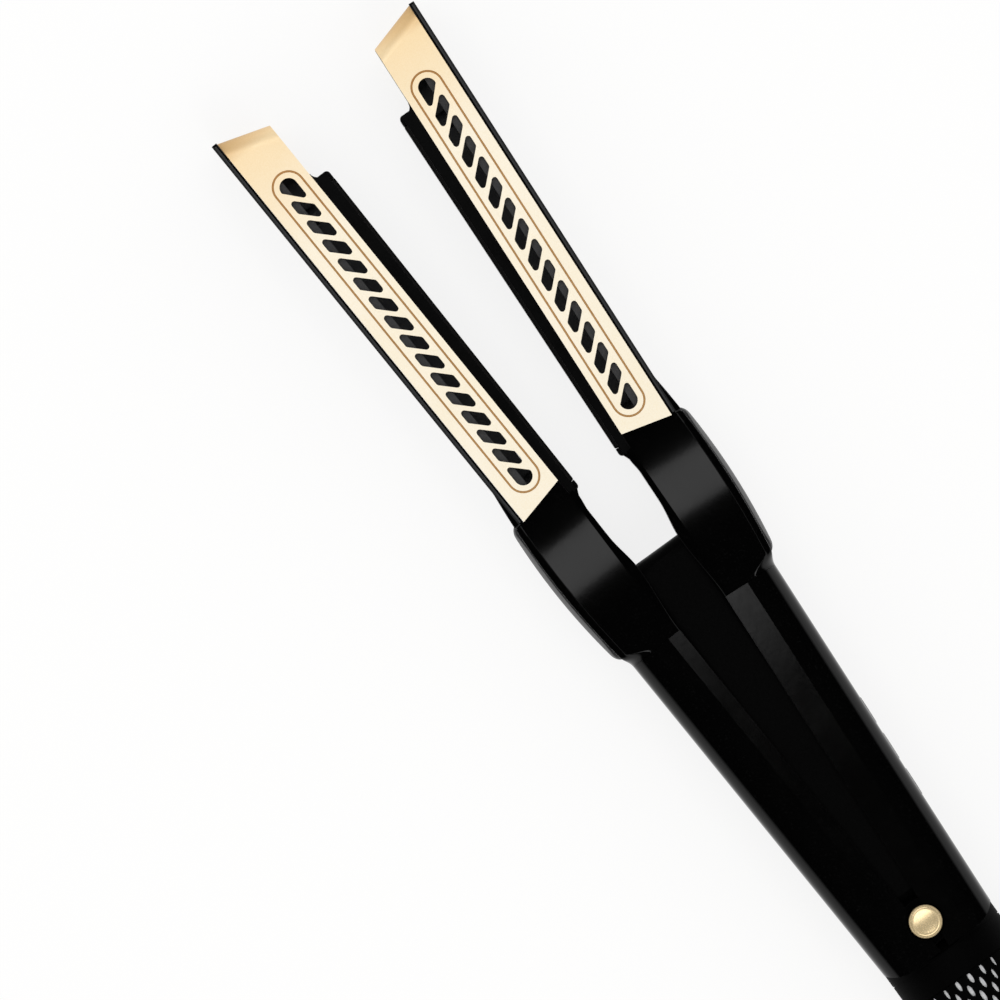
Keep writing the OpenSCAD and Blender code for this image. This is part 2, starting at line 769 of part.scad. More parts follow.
// Air core between the handle halves, in two shells that meet in the middle
module core_space(inset) {
    w = core_half - inset;
    end = core_len - inset;
    intersection() {
        union() {
            along_x(core_back - inset, end) round_rect(w, core_flat - inset, 2);
            along_x(neck_x + inset, end) round_rect(w, core_deep - inset, core_edge - inset);
        }
        along_y(-far, far) round_poly([
            [-far, inset - core_deep], [end, inset - core_deep],
            [end, core_deep - inset], [-far, core_deep - inset]
        ], core_nose - inset);
        along_z(-far, far) round_poly([[-far, -w], [end, -w], [end, w], [-far, w]], 3 - inset);
    }
}
module core_whole() {
    difference() {
        core_space(0);
        difference() {
            core_space(core_wall);
            along_z(-far, far) circle(boss_r);
            for (x = core_screws_x) translate([x, 0]) along_z(-far, far) circle(screw_r + 1.6);
        }
        for (side = [-1, 1]) {
            // port towards an arm, and the window for a leg of the spring
            along_x(core_len - port_depth, core_len + 1)
                translate([side * (core_half - 3.6), 0]) round_rect(1.9, port_half, 1.2);
            block(window_x, [side * core_half - 3, side * core_half + 3], [-window_half, window_half]);
        }
        along_z(-far, far) circle(pin_r + run_fit);
        for (x = core_screws_x) translate([x, 0, 0]) {
            along_z(-core_deep - 1, 8) circle(screw_r + run_fit);
            along_z(-core_deep - 1, 2.4 - core_deep) circle(head_r + slip);
        }
    }
}
module core_front_shell() {
    color(SATIN) difference() {
        core_whole();
        block([-far, core_len + far], [-far, far], [-far, 0]);
    }
}
module core_rear_shell() {
    color(SATIN) difference() {
        union() {
            core_whole();
            board_legs();
        }
        block([-far, core_len + far], [-far, far], [0, far]);
    }
}
module core_screws() {
    color(STEEL) for (x = core_screws_x) translate([x, 0, 0]) {
        along_z(-core_deep, 2.3 - core_deep) circle(head_r);
        along_z(-core_deep, 7) circle(screw_r);
    }
}
board_floor = core_wall - core_deep;
module board_legs() {
    along_z(board_floor - 0.5, board_floor + leg_h)
        for (x = [power_x[0] + 2, power_x[1] - 2], y = [board_edge - power_half, power_half - board_edge])
            translate([x, y]) circle(1);
}
module power_board() {
    z = board_floor + leg_h;
    top = z + board_t;
    color("#1f5c3a") {
        block(power_x, [-power_half, power_half], [z, top]);
        block([power_x[0] + 4, power_x[0] + 4 + choke[0]], [board_edge - power_half, 1], [top, top + choke[1]]);
        block([power_x[1] - 2 - relay[0], power_x[1] - 2], [2, power_half - board_edge], [top, top + relay[1]]);
        translate([power_x[1] - 2 - relay[0] / 2, -0.4 - capacitor_r, top])
            cylinder(h = power_half + 0.6, r = capacitor_r);
    }
}

// Hinge
pin_reach = handle_in + 0.6;
module pivot_pin() {
    color(STEEL) along_z(-pin_reach, pin_reach) circle(pin_r);
}
module pivot_cap(top, dish) {
    low = handle_in + 0.2;
    edge = 0.8;
    dish_half = cap_r - 1;
    dish_r = (dish_half * dish_half + dish * dish) / (2 * max(dish, 0.01));
    color(GOLD) difference() {
        rotate_extrude() difference() {
            union() {
                translate([0, low]) square([cap_r, top - low - edge]);
                translate([0, low]) square([cap_r - edge, top - low]);
                translate([cap_r - edge, top - edge]) circle(edge);
            }
            square([pin_r, pin_reach + 0.1]);
            square([far, low]);
        }
        if (dish > 0) translate([0, 0, top + dish_r - dish]) sphere(r = dish_r, $fn = 96);
    }
}
module front_pivot_cap() {
    pivot_cap(handle_half + cap_proud, 0.5);
}
module rear_pivot_cap() {
    rotate([180, 0, 0]) pivot_cap(handle_half, 0);
}
module hinge_washers() {
    color(WHITE) for (z = [lug_top, lug_low]) for (s = [-1, 1])
        translate([0, 0, s * (z - lug_t - lug_gap / 2)]) difference() {
            cylinder(h = washer_t, r = lug_r - 1, center = true);
            cylinder(h = far, r = pin_r + run_fit, center = true);
        }
}
// Torsion spring round the pin's boss, with a leg against each handle half
module opening_spring() {
    wire_r = spring_wire_d / 2;
    coil_r = boss_r + wire_r + 0.3;
    turns = 2.5;
    steps = 40;
    pitch = spring_wire_d * 1.3;
    leg_x = window_x[1];
    wall = leg_x * tan(arm_open_deg) + handle_in - wire_r - 0.4;
    coil = [for (k = [0 : steps])
        let (a = 270 - 360 * turns * k / steps)
        [coil_r * cos(a), coil_r * sin(a), pitch * turns * (k / steps - 0.5)]];
    z = pitch * turns / 2;
    leg = [[lug_r + 2.8, coil_r + 0.3, z], [window_x[0] + 4, core_half + 1, z], [leg_x, wall, z]];
    color(STEEL) tube(concat([for (i = [2 : -1 : 0]) -leg[i] + [2 * leg[i][0], 0, 0]], coil, leg), wire_r, 8);
}

// Tail
module tail_housing() {
    color(BLACK) difference() {
        union() {
            intersection() {
                along_x(-grille_x, 0) circle(tail_r);
                tail_dome(dome_r);
            }
            along_x(housing_back, -grille_x + 0.1) circle(seal_r - slip);
        }
        along_x(-far, core_back + 1) circle(fan_r + 0.8);
        along_x(-far, far) round_rect(core_half + slip, core_flat + slip, 2);
    }
}
module grille_sleeve() {
    pitch = grille_len / (grille_rows + 0.5);
    color(BLACK) difference() {
        ring_x(-grille_x - grille_len, -grille_x - 0.1, seal_r, tail_r - 0.3);
        for (row = [0 : grille_rows - 1], k = [0 : grille_holes / 2 - 1])
            translate([-grille_x - pitch * (row + 0.75), 0, 0])
                rotate([(k + (row % 2) / 2) * 360 / grille_holes, 0, 0])
                    along_z(-far, far) polygon([[-pitch * 0.4, 0], [0, -1.5], [pitch * 0.4, 0], [0, 1.5]]);
    }
}
module filter_sleeve() {
    color("#a9aaa8") ring_x(cage_x0 + 4, cage_x1 - 0.2, cage_r + 0.1, seal_r - 0.4);
}
module filter_cage() {
    color(GREY) difference() {
        ring_x(cage_x0, cage_x1, cage_in, cage_r);
        for (k = [0 : 2], x = [-cage_slot_x, cage_slot_x])
            translate([(cage_x0 + cage_x1) / 2 + x, 0, 0]) rotate([k * 60, 0, 0])
                along_z(-far, far) slot_2d(0.4 - cage_slot_r, cage_slot_r - 0.4, cage_slot_r);
    }
}
module motor_mounts() {
    color("#55565a") for (x = [motor_x0 + 2, motor_x1 - 2 - mount_w]) ring_x(x, x + mount_w, motor_r, cage_in);
}
module fan_motor() {
    color(STEEL) difference() {
        union() {
            along_x(motor_x0, motor_x1) circle(motor_r);
            along_x(motor_x0 - boss_len, motor_x1 + boss_len) circle(boss_out);
        }
        along_x(-far, 0) circle(shaft_r + run_fit);
        for (k = [0 : 5]) rotate([k * 60, 0, 0]) translate([0, 0, cool_off])
            along_x(motor_x1 - 2, motor_x1 + 1) circle(cool_r);
    }
}
module motor_shaft() {
    color(STEEL) along_x(motor_x0 - 3, fan_x1 + 0.3) circle(shaft_r);
}
module impeller() {
    hub_r = 5;
    reach = fan_x1 - fan_x0;
    color(GREY) difference() {
        union() {
            along_x(fan_x0, fan_x1) circle(hub_r);
            intersection() {
                ring_x(fan_x0, fan_x1, shaft_r, fan_r);
                for (k = [0 : fan_blades - 1]) rotate([k * 360 / fan_blades, 0, 0])
                    translate([(fan_x0 + fan_x1) / 2, 0, 0]) rotate([0, 0, 40])
                        block([-reach, reach], [-0.5, 0.5], [hub_r - 1, fan_r + 5]);
            }
        }
        along_x(fan_x0 - 1, fan_x1 + 1) circle(shaft_r);
    }
}
module tail_end_cap() {
    edge = 3;
    depth = cap_front - tail_end;
    inside = cage_in - 0.5;
    color(BLACK) difference() {
        union() {
            translate([cap_front, 0, 0]) rotate([0, -90, 0]) rotate_extrude() {
                square([tail_r, depth - edge]);
                square([tail_r - edge, depth]);
                translate([tail_r - edge, depth - edge]) circle(edge);
                translate([inside, -4]) square([seal_r - slip - inside, 5]);
            }
        }
        ring_x(cap_front - 0.1, far, inside - 1, cage_r + 0.1);
        along_x(tail_end + 4, cap_front + 1) circle(inside);
        along_x(tail_end - 1, cap_front) circle(gland_r + run_fit);
    }
}
module gland_retainer() {
    color(GREY) ring_x(tail_end + 6.6, tail_end + 8, cord_r + 1.6, cage_in - 0.6);
}
module cord_gland() {
    color(SATIN) difference() {
        union() {
            ring_x(tail_end - 2, tail_end + 6, cord_r, gland_r);
            ring_x(tail_end + 4.2, tail_end + 6.4, cord_r, gland_r + 2.2);
        }
        ring_x(tail_end - 3, tail_end - 1.2, gland_r - 0.6, gland_r + 1);
    }
}

on_arm(1) handle_shell(1);  // left_handle_shell
on_arm(1) arm_frame();  // left_arm_frame
on_arm(1) vented_panel();  // left_front_panel
on_arm(1) mirror([0, 0, 1]) vented_panel();  // left_rear_panel
on_arm(1) air_duct();  // left_air_duct
on_arm(1) plate_carrier();  // left_plate_carrier
on_arm(1) tip_cap();  // left_tip_cap
on_arm(1) thumb_pad();  // left_thumb_pad
on_arm(1) arm_screws();  // left_arm_screws
on_arm(1) heater_leads();  // left_heater_leads
on_plate(1) plate_cushions();  // left_plate_cushions
on_plate(1) heater_plate();  // left_heater_plate
on_plate(1) heater_element();  // left_heater_element
on_plate(1) insulator_sheet();  // left_insulator_sheet
on_plate(1) heat_fuse();  // left_heat_fuse
on_arm(-1) handle_shell(-1);  // right_handle_shell
on_arm(-1) arm_frame();  // right_arm_frame
on_arm(-1) vented_panel();  // right_front_panel
on_arm(-1) mirror([0, 0, 1]) vented_panel();  // right_rear_panel
on_arm(-1) air_duct();  // right_air_duct
on_arm(-1) plate_carrier();  // right_plate_carrier
on_arm(-1) tip_cap();  // right_tip_cap
on_arm(-1) thumb_pad();  // right_thumb_pad
on_arm(-1) arm_screws();  // right_arm_screws
on_arm(-1) heater_leads();  // right_heater_leads
on_plate(-1) plate_cushions();  // right_plate_cushions
on_plate(-1) heater_plate();  // right_heater_plate
on_plate(-1) heater_element();  // right_heater_element
on_plate(-1) insulator_sheet();  // right_insulator_sheet
on_plate(-1) heat_fuse();  // right_heat_fuse
on_arm(-1) control_panel();
on_arm(-1) display_lens();
on_arm(-1) display_module();
on_arm(-1) control_board();
on_arm(-1) button_switches();
on_arm(-1) button(0);  // power_button
on_arm(-1) button(1);  // heat_button
on_arm(-1) button(2);  // air_button
on_core() core_front_shell();
on_core() core_rear_shell();
on_core() core_screws();
on_core() power_board();
on_core() pivot_pin();
on_core() front_pivot_cap();
on_core() rear_pivot_cap();
on_core() hinge_washers();
on_core() opening_spring();
on_core() tail_housing();
on_core() grille_sleeve();
on_core() filter_sleeve();
on_core() filter_cage();
on_core() motor_mounts();
on_core() fan_motor();
on_core() motor_shaft();
on_core() impeller();
on_core() tail_end_cap();
on_core() gland_retainer();
on_core() cord_gland();
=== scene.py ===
# Looks of the hair straightener: detailed pieces, finishes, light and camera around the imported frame.
# Shapes are made in millimetres and turned into metres where a piece is placed. The studio is in metres.
import bpy
import bmesh
from math import copysign, cos, pi, radians, sin, sqrt, tan
from mathutils import Matrix, Vector


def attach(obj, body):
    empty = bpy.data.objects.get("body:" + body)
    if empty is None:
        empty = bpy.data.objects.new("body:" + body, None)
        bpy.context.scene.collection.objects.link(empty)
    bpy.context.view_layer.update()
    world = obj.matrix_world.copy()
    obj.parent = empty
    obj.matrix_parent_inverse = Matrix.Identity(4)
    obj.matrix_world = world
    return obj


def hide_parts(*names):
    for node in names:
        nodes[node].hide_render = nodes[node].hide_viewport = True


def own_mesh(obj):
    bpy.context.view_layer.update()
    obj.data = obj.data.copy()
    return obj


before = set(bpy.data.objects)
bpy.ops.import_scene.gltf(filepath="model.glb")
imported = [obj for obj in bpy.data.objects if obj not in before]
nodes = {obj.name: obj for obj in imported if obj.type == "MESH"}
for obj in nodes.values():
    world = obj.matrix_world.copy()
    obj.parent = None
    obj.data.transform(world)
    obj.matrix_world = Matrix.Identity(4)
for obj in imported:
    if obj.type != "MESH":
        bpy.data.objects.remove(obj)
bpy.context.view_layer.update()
scene = bpy.context.scene
mm = 0.001
closeBy = 0.01      # millimetres within which two places count as one
hingeZ = 17.2       # middle of the arms' depth, from which z is counted
openDeg = 3.19      # how far each arm stands open at rest
plateMid = 197.0    # middle of a plate, counted from the hinge
flatDeg = 0.3       # faces of the solids that meet at less than this become one
cornerDeg = 40      # edges of the solids that are sharper than this get rounded
sides = ("left", "right")
faces = ("front", "rear")


# Finishes
def linear(hexColour):
    # sRGB hex to linear, as the shader sockets want it
    parts = [int(hexColour[i:i + 2], 16) / 255 for i in (0, 2, 4)]
    return [p / 12.92 if p <= 0.04045 else ((p + 0.055) / 1.055) ** 2.4 for p in parts] + [1]


def addNode(tree, kind, settings=None, values=None, links=None):
    # one node: its settings, the values of its inputs and what is linked to them
    node = tree.nodes.new("ShaderNode" + kind)
    for key, value in (settings or {}).items():
        setattr(node, key, value)
    for key, value in (values or {}).items():
        node.inputs[key].default_value = value
    for key, source in (links or {}).items():
        tree.links.new(source, node.inputs[key])
    return node


def calc(tree, operation, values=None, links=None):
    # result of one maths node
    return addNode(tree, "Math", {"operation": operation}, values, links).outputs["Value"]


def emptyTree(owner):
    owner.use_nodes = True
    owner.node_tree.nodes.clear()
    return owner.node_tree


def newFinish(name):
    material = bpy.data.materials.new(name)
    tree = emptyTree(material)
    place = addNode(tree, "TexCoord").outputs["Object"]
    return material, tree, place


def grainOf(tree, place, period, detail=2, rough=0.5, warp=0.0):
    # noise whose blobs are about period millimetres across
    values = {"Scale": 1 / (period * mm), "Detail": detail, "Roughness": rough, "Distortion": warp}
    return addNode(tree, "TexNoise", values=values, links={"Vector": place}).outputs["Fac"]


def mapped(tree, source, low, high, fromLow=0.3, fromHigh=0.7):
    # a value stretched to the range that a socket wants; noise lies mostly between 0.3 and 0.7
    values = {"From Min": fromLow, "From Max": fromHigh, "To Min": low, "To Max": high}
    return addNode(tree, "MapRange", values=values, links={"Value": source}).outputs["Result"]


def colourSockets(sockets):
    return [s for s in sockets if s.type == "RGBA"]


def tinted(tree, factor, first, second):
    node = addNode(tree, "Mix", {"data_type": "RGBA"}, links={"Factor": factor})
    for socket, colour in zip(colourSockets(node.inputs), (first, second)):
        socket.default_value = linear(colour)
    return colourSockets(node.outputs)[0]


def bumped(tree, height, depth):
    # depth is the height of the relief in millimetres
    values = {"Strength": 1, "Distance": depth * mm}
    return addNode(tree, "Bump", values=values, links={"Height": height}).outputs["Normal"]


def closed(tree, values, links):
    shader = addNode(tree, "BsdfPrincipled", values=values, links=links)
    addNode(tree, "OutputMaterial", links={"Surface": shader.outputs["BSDF"]})


def lacquer():
    # Gloss black ABS, injection moulded and lacquered: deep black, soft orange peel, faint handling haze
    material, tree, place = newFinish("glossLacquerAbs")
    peel = grainOf(tree, place, 1.6, 1, 0.4)
    haze = grainOf(tree, place, 14, 4, 0.6, 0.4)
    dust = grainOf(tree, place, 0.5, 0)
    closed(tree, {"Specular IOR Level": 0.22, "IOR": 1.5},
           {"Base Color": tinted(tree, mapped(tree, dust, 0, 1, 0.66, 0.8), "020202", "080808"),
            "Roughness": mapped(tree, haze, 0.08, 0.12), "Normal": bumped(tree, peel, 0.0025)})
    return material


def sparkedAbs(name="sparkErodedAbs", dark="010101", light="040404", roughness=(0.4, 0.5), level=0.03,
               period=0.42):
    # Black or grey plastic from a spark-eroded mould: fine even grain, the duller the lower its level
    material, tree, place = newFinish(name)
    grain = grainOf(tree, place, period, 2, 0.6)
    cloud = grainOf(tree, place, 9, 3)
    closed(tree, {"Specular IOR Level": level, "IOR": 1.5},
           {"Base Color": tinted(tree, mapped(tree, grain, 0, 1), dark, light),
            "Roughness": mapped(tree, cloud, *roughness), "Normal": bumped(tree, grain, 0.02)})
    return material


def alongArm(tree, place):
    # distance from the hinge along an arm, in millimetres, the same for both arms
    axis = addNode(tree, "SeparateXYZ", links={"Vector": place})
    across = calc(tree, "ABSOLUTE", links={0: axis.outputs["Y"]})
    lift = calc(tree, "MULTIPLY", {1: sin(radians(openDeg)) / mm}, {0: across})
    return calc(tree, "MULTIPLY_ADD", {1: cos(radians(openDeg)) / mm}, {0: axis.outputs["X"], 2: lift})


# Painted shade: the gold is darkened towards the rolled tips, standing in for the shade on the roll; where
# the darkening starts and ends, and the colour at each share of it
paintedTipShade = {"start": 236, "end": 272,
           "shadeSteps": {0: "ffffff", 0.53: "fdf2e0", 0.83: "fdecd0", 0.9: "ecd2ac", 1: "cfae7c"}}


def blastedGold(name="blastedChampagneAluminium", low="faedd0", high="fff6e4", rough=(0.4, 0.5), relief=0.012,
                metal=0.2):
    # Bead-blasted aluminium, anodised champagne: wide soft sheen and fine sparkle
    material, tree, place = newFinish(name)
    beads = grainOf(tree, place, 0.34, 1, 0.6)
    cloud = grainOf(tree, place, 22, 3)
    spark = grainOf(tree, place, 0.22, 0)
    mottle = calc(tree, "ADD", links={0: mapped(tree, beads, 0, 0.6), 1: mapped(tree, cloud, 0, 0.4)})
    # painted shade: the gold is multiplied by a ramp that darkens it along the arm towards the rolled tips
    run = mapped(tree, alongArm(tree, place), 0, 1, paintedTipShade["start"], paintedTipShade["end"])
    ramp = addNode(tree, "ValToRGB", links={"Fac": run})
    stops = ramp.color_ramp.elements
    for share, colour in paintedTipShade["shadeSteps"].items():
        stop = stops[0] if share == 0 else stops[len(stops) - 1] if share == 1 else stops.new(share)
        stop.color = linear(colour)
    shadedGold = addNode(tree, "Mix", {"data_type": "RGBA", "blend_type": "MULTIPLY"}, {0: 1.0})
    metalColour, tipShadeColour = colourSockets(shadedGold.inputs)
    tree.links.new(tinted(tree, mottle, low, high), metalColour)
    tree.links.new(ramp.outputs["Color"], tipShadeColour)
    closed(tree, {"Metallic": metal, "Specular IOR Level": 0.5},
           {"Base Color": colourSockets(shadedGold.outputs)[0], "Roughness": mapped(tree, spark, *rough),
            "Normal": bumped(tree, beads, relief)})
    return material


def coatedPlate():
    # Ceramic coating on a ground aluminium plate: near black and satin, with tiny mineral flakes
    # and wipe marks along it
    material, tree, place = newFinish("ceramicCoatedAluminium")
    along = addNode(tree, "Mapping", values={"Scale": (0.06, 1, 1)}, links={"Vector": place})
    wipes = grainOf(tree, along.outputs["Vector"], 0.5, 3, 0.6)
    flakes = addNode(tree, "TexVoronoi", values={"Scale": 1 / (0.45 * mm)}, links={"Vector": place})
    flake = mapped(tree, flakes.outputs["Distance"], 1, 0, 0.02, 0.14)
    closed(tree, {"Metallic": 0.1, "Specular IOR Level": 0.12},
           {"Base Color": tinted(tree, flake, "0d0c0b", "3a352f"),
            "Roughness": mapped(tree, wipes, 0.3, 0.42), "Normal": bumped(tree, wipes, 0.003)})
    return material


def turnedSteel():
    # Bright zinc-plated steel: fine turning marks, slightly cloudy plating
    material, tree, place = newFinish("turnedSteel")
    cloud = grainOf(tree, place, 1.4, 3)
    fine = grainOf(tree, place, 0.12, 1)
    closed(tree, {"Metallic": 1},
           {"Base Color": tinted(tree, mapped(tree, cloud, 0, 1), "9a9c9e", "b9bbbc"),
            "Roughness": mapped(tree, fine, 0.25, 0.42), "Normal": bumped(tree, fine, 0.004)})
    return material


def siliconeRubber(name, dark, light, roughness=(0.55, 0.7), sheen=0.25):
    # Moulded silicone: soft, dull, with a dusty sheen at the rims
    material, tree, place = newFinish(name)
    skin = grainOf(tree, place, 0.25, 2)
    cloud = grainOf(tree, place, 6, 2)
    closed(tree, {"Specular IOR Level": 0.35, "Sheen Weight": sheen, "Sheen Roughness": 0.5},
           {"Base Color": tinted(tree, mapped(tree, cloud, 0, 1), dark, light),
            "Roughness": mapped(tree, skin, *roughness), "Normal": bumped(tree, skin, 0.01)})
    return material


clothSize = {"mesh": 0.5, "around": 190.0}    # width of one mesh and how many lie round the sleeve


def wovenWire():
    # Woven stainless filter cloth: each wire goes over and under the next. Painted reflection: the steel is
    # given a pale colour with no metal, standing in for the bright room it reflects, and the raised crossings
    # are painted paler still, a painted highlight
    material, tree, place = newFinish("wovenStainlessCloth")
    axis = addNode(tree, "SeparateXYZ", links={"Vector": place})
    up = calc(tree, "SUBTRACT", {1: hingeZ * mm}, {0: axis.outputs["Z"]})
    angle = calc(tree, "ARCTAN2", links={0: axis.outputs["Y"], 1: up})
    turns = calc(tree, "MULTIPLY", {1: clothSize["around"]}, {0: angle})
    run = calc(tree, "MULTIPLY", {1: 2 * pi / (clothSize["mesh"] * mm)}, {0: axis.outputs["X"]})
    waves = [calc(tree, "SINE", links={0: value}) for value in (turns, run)]
    weave = mapped(tree, calc(tree, "MULTIPLY", links=dict(enumerate(waves))), 0, 1, -1, 1)
    # pale non-metallic colour, paler on the crossings: painted reflection and painted highlight
    closed(tree, {"Metallic": 0.0, "Specular IOR Level": 0.5},
           {"Base Color": tinted(tree, weave, "cfd1d2", "fbfbfb"),
            "Roughness": mapped(tree, weave, 0.5, 0.3, 0, 1), "Normal": bumped(tree, weave, 0.06)})
    return material


def ceramicBody():
    # Fired alumina: white, fine dry grain
    return siliconeRubber("firedAlumina", "dedbd2", "eeece5", (0.6, 0.75), 0)


def micaSheet():
    # Pressed mica: amber, layered flakes
    material, tree, place = newFinish("pressedMica")
    cells = addNode(tree, "TexVoronoi", values={"Scale": 1 / (1.6 * mm)}, links={"Vector": place})
    fleck = mapped(tree, cells.outputs["Distance"], 0, 1, 0, 0.8)
    closed(tree, {"Specular IOR Level": 0.5}, {"Base Color": tinted(tree, fleck, "a8803f", "d4b271"),
                                               "Roughness": mapped(tree, fleck, 0.3, 0.6, 0, 1)})
    return material


def solderMask():
    # Glass-fibre circuit board under green solder mask, with paler tracks
    material, tree, place = newFinish("solderMaskBoard")
    tracks = addNode(tree, "TexBrick", {"offset": 0.5},
                     {"Scale": 1 / (9 * mm), "Mortar Size": 0.03, "Brick Width": 0.6, "Row Height": 0.2,
                      "Color1": linear("1b5a35"), "Color2": linear("17502f"), "Mortar": linear("4f9a63")},
                     {"Vector": place})
    closed(tree, {"Specular IOR Level": 0.5, "Roughness": 0.35}, {"Base Color": tracks.outputs["Color"]})
    return material


def smokedLens():
    # Smoked acrylic window over the display, hard coated
    material, tree, place = newFinish("smokedAcrylic")
    haze = grainOf(tree, place, 3, 2)
    closed(tree, {"Specular IOR Level": 0.5, "Coat Weight": 0.6, "Coat Roughness": 0.05},
           {"Base Color": tinted(tree, haze, "07070a", "0b0b10"),
            "Roughness": mapped(tree, haze, 0.06, 0.12)})
    return material


finish = {
    "black_gloss": lacquer(),
    "black_satin": sparkedAbs("satinAbs", "020202", "050505", (0.28, 0.36), 0.06, 0.5),
    "core_matte": sparkedAbs(),
    "grey_plastic": sparkedAbs("glassFilledNylon", "232427", "303135", (0.45, 0.6), 0.5, 0.35),
    "champagne_metal": blastedGold(),
    "plate_coating": coatedPlate(),
    "steel": turnedSteel(),
    "silicone": siliconeRubber("redSilicone", "7c3027", "8f3b30"),
    "lead_sleeve": siliconeRubber("glassSleeving", "cfcabc", "e0dccf", (0.7, 0.85), 0.1),
    "ceramic": ceramicBody(),
    "mica_sheet": micaSheet(),
    "circuit_board": solderMask(),
    "lens": smokedLens(),
    "filter_mesh": wovenWire(),
}
# painted shade: a darker gold for the groove's walls and floor stands in for the shade in the groove
grooveShadeGold = blastedGold("shadedGrooveGold", "b98f55", "c79d63", (0.5, 0.6), 0.008)
capGold = blastedGold("satinGoldCap", "f0d5a0", "f8e3b8", (0.2, 0.28), 0.004, 0.6)
# painted shade: the panels' undersides are made black, standing in for the shade inside the arm seen through
# the vents
panelUndersideShade = sparkedAbs("paintedVentShade", "0a0a0a", "0f0f10", (0.55, 0.65), 0.3, 0.6)
# painted highlight: grey for the strip along the rail, standing in for the light caught on the rail's crown
railHighlightGrey = sparkedAbs("greyRailHighlight", "1c1d1e", "26282a", (0.35, 0.45), 0.4, 0.4)
tailAbs = sparkedAbs("fineSatinTailAbs", "020202", "040404", (0.5, 0.6), 0.02, 0.5)
thumbRubber = siliconeRubber("softTouchRubber", "0b0b0c", "121213", (0.5, 0.62), 0.12)
print("finishes ready")

# Placing
toMetres = Matrix.Diagonal((mm, mm, mm, 1))
onCore = Matrix.Translation((0, 0, hingeZ * mm)) @ toMetres
mirrorY = Matrix.Diagonal((1, -1, 1, 1))
mirrorZ = Matrix.Diagonal((1, 1, -1, 1))
turnOpen = Matrix.Rotation(radians(openDeg), 4, "Z")
onArm = {"left": onCore @ turnOpen, "right": onCore @ mirrorY @ turnOpen}
toArm = {"left": turnOpen.inverted(), "right": (mirrorY @ turnOpen).inverted()}    # from the core's axes


def facing(place, face):
    return place if face == "front" else place @ mirrorZ


def newPiece(name, bm, body, slot, place=onCore, stands=(), finishes=None, sharpDeg=32, broad=0):
    # turns a bmesh in millimetres into a piece that rides on a body and stands for CAD nodes;
    # faces of more than broad square millimetres keep hard borders
    bm.normal_update()
    wide = {f for f in bm.faces if broad and f.calc_area() > broad}
    hard = [len(e.link_faces) == 2 and e.calc_face_angle(0) > 0.01 and not wide.isdisjoint(e.link_faces)
            for e in bm.edges]
    bm.transform(place)
    if place.determinant() < 0:
        bmesh.ops.reverse_faces(bm, faces=bm.faces)
    mesh = bpy.data.meshes.new(name)
    bm.to_mesh(mesh)
    bm.free()
    mesh.shade_smooth()
    mesh.set_sharp_from_angle(angle=radians(sharpDeg))
    for edge, isHard in zip(mesh.edges, hard):
        edge.use_edge_sharp = edge.use_edge_sharp or isHard
    for material in finishes or [finish[slot]]:
        mesh.materials.append(material)
    piece = bpy.data.objects.new(name, mesh)
    scene.collection.objects.link(piece)
    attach(piece, body)
    if stands:
        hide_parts(*stands)
    even = piece.modifiers.new("flatFaces", "WEIGHTED_NORMAL")    # large faces look as flat as they are
    even.mode, even.weight, even.keep_sharp = "FACE_AREA", 50, True
    return piece


def sharpEdges(bm, deg):
    return [e for e in bm.edges if len(e.link_faces) == 2 and e.calc_face_angle(0) > radians(deg)]


def bevel(bm, edges, width, segments=2):
    bmesh.ops.bevel(bm, geom=edges, offset=width, offset_type="OFFSET", segments=segments, profile=0.5,
                    affect="EDGES", clamp_overlap=True, material=-1)


def cutAt(bm, point, normal, dropOuter=False):
    # cuts every face along a plane; gives what lies in the cut
    return bmesh.ops.bisect_plane(bm, geom=bm.verts[:] + bm.edges[:] + bm.faces[:], dist=1e-5,
                                  clear_outer=dropOuter, plane_co=point, plane_no=normal)["geom_cut"]


def loopOf(bm, points):
    # closed ring of vertices; gives its edges
    ring = [bm.verts.new(p) for p in points]
    return [bm.edges.new((ring[i - 1], ring[i])) for i in range(len(ring))]


def fillLoops(bm, edges):
    bmesh.ops.triangle_fill(bm, use_beauty=True, use_dissolve=False, edges=edges)


def arc(centre, radius, start, end, steps):
    return [(centre[0] + radius * cos(radians(start + (end - start) * k / steps)),
             centre[1] + radius * sin(radians(start + (end - start) * k / steps))) for k in range(steps + 1)]


def rounded(corners, steps=4):
    # corners are (x, y, radius); each is cut back to an arc
    out = []
    for i, (x, y, r) in enumerate(corners):
        here = Vector((x, y))
        before = (Vector(corners[i - 1][:2]) - here).normalized()
        after = (Vector(corners[(i + 1) % len(corners)][:2]) - here).normalized()
        if r <= 0:
            out.append((x, y))
            continue
        half = before.angle(after) / 2
        centre = here + (before + after).normalized() * (r / sin(half))
        a = here + before * (r / tan(half)) - centre
        b = here + after * (r / tan(half)) - centre
        turn = a.angle_signed(b)
        for k in range(steps + 1):
            t = -turn * k / steps
            out.append((centre.x + a.x * cos(t) - a.y * sin(t), centre.y + a.x * sin(t) + a.y * cos(t)))
    return out


def stadium(x0, x1, y, r, steps=20):
    return arc((x1, y), r, -90, 90, steps) + arc((x0, y), r, 90, 270, steps)


# CAD nodes dressed with soft edges
def copyOf(nodeName):
    # merged copy of a CAD node, in millimetres about the hinge axis at half depth
    bm = bmesh.new()
    bm.from_mesh(nodes[nodeName].data)
    bmesh.ops.remove_doubles(bm, verts=bm.verts, dist=1e-6)
    bm.transform(onCore.inverted())
    bmesh.ops.dissolve_limit(bm, angle_limit=radians(flatDeg), verts=bm.verts, edges=bm.edges)
    return bm


def softened(nodeName, name, body, slot, width):
    bm = copyOf(nodeName)
    bevel(bm, sharpEdges(bm, cornerDeg), width)
    newPiece(name, bm, body, slot, stands=[nodeName], broad=100)


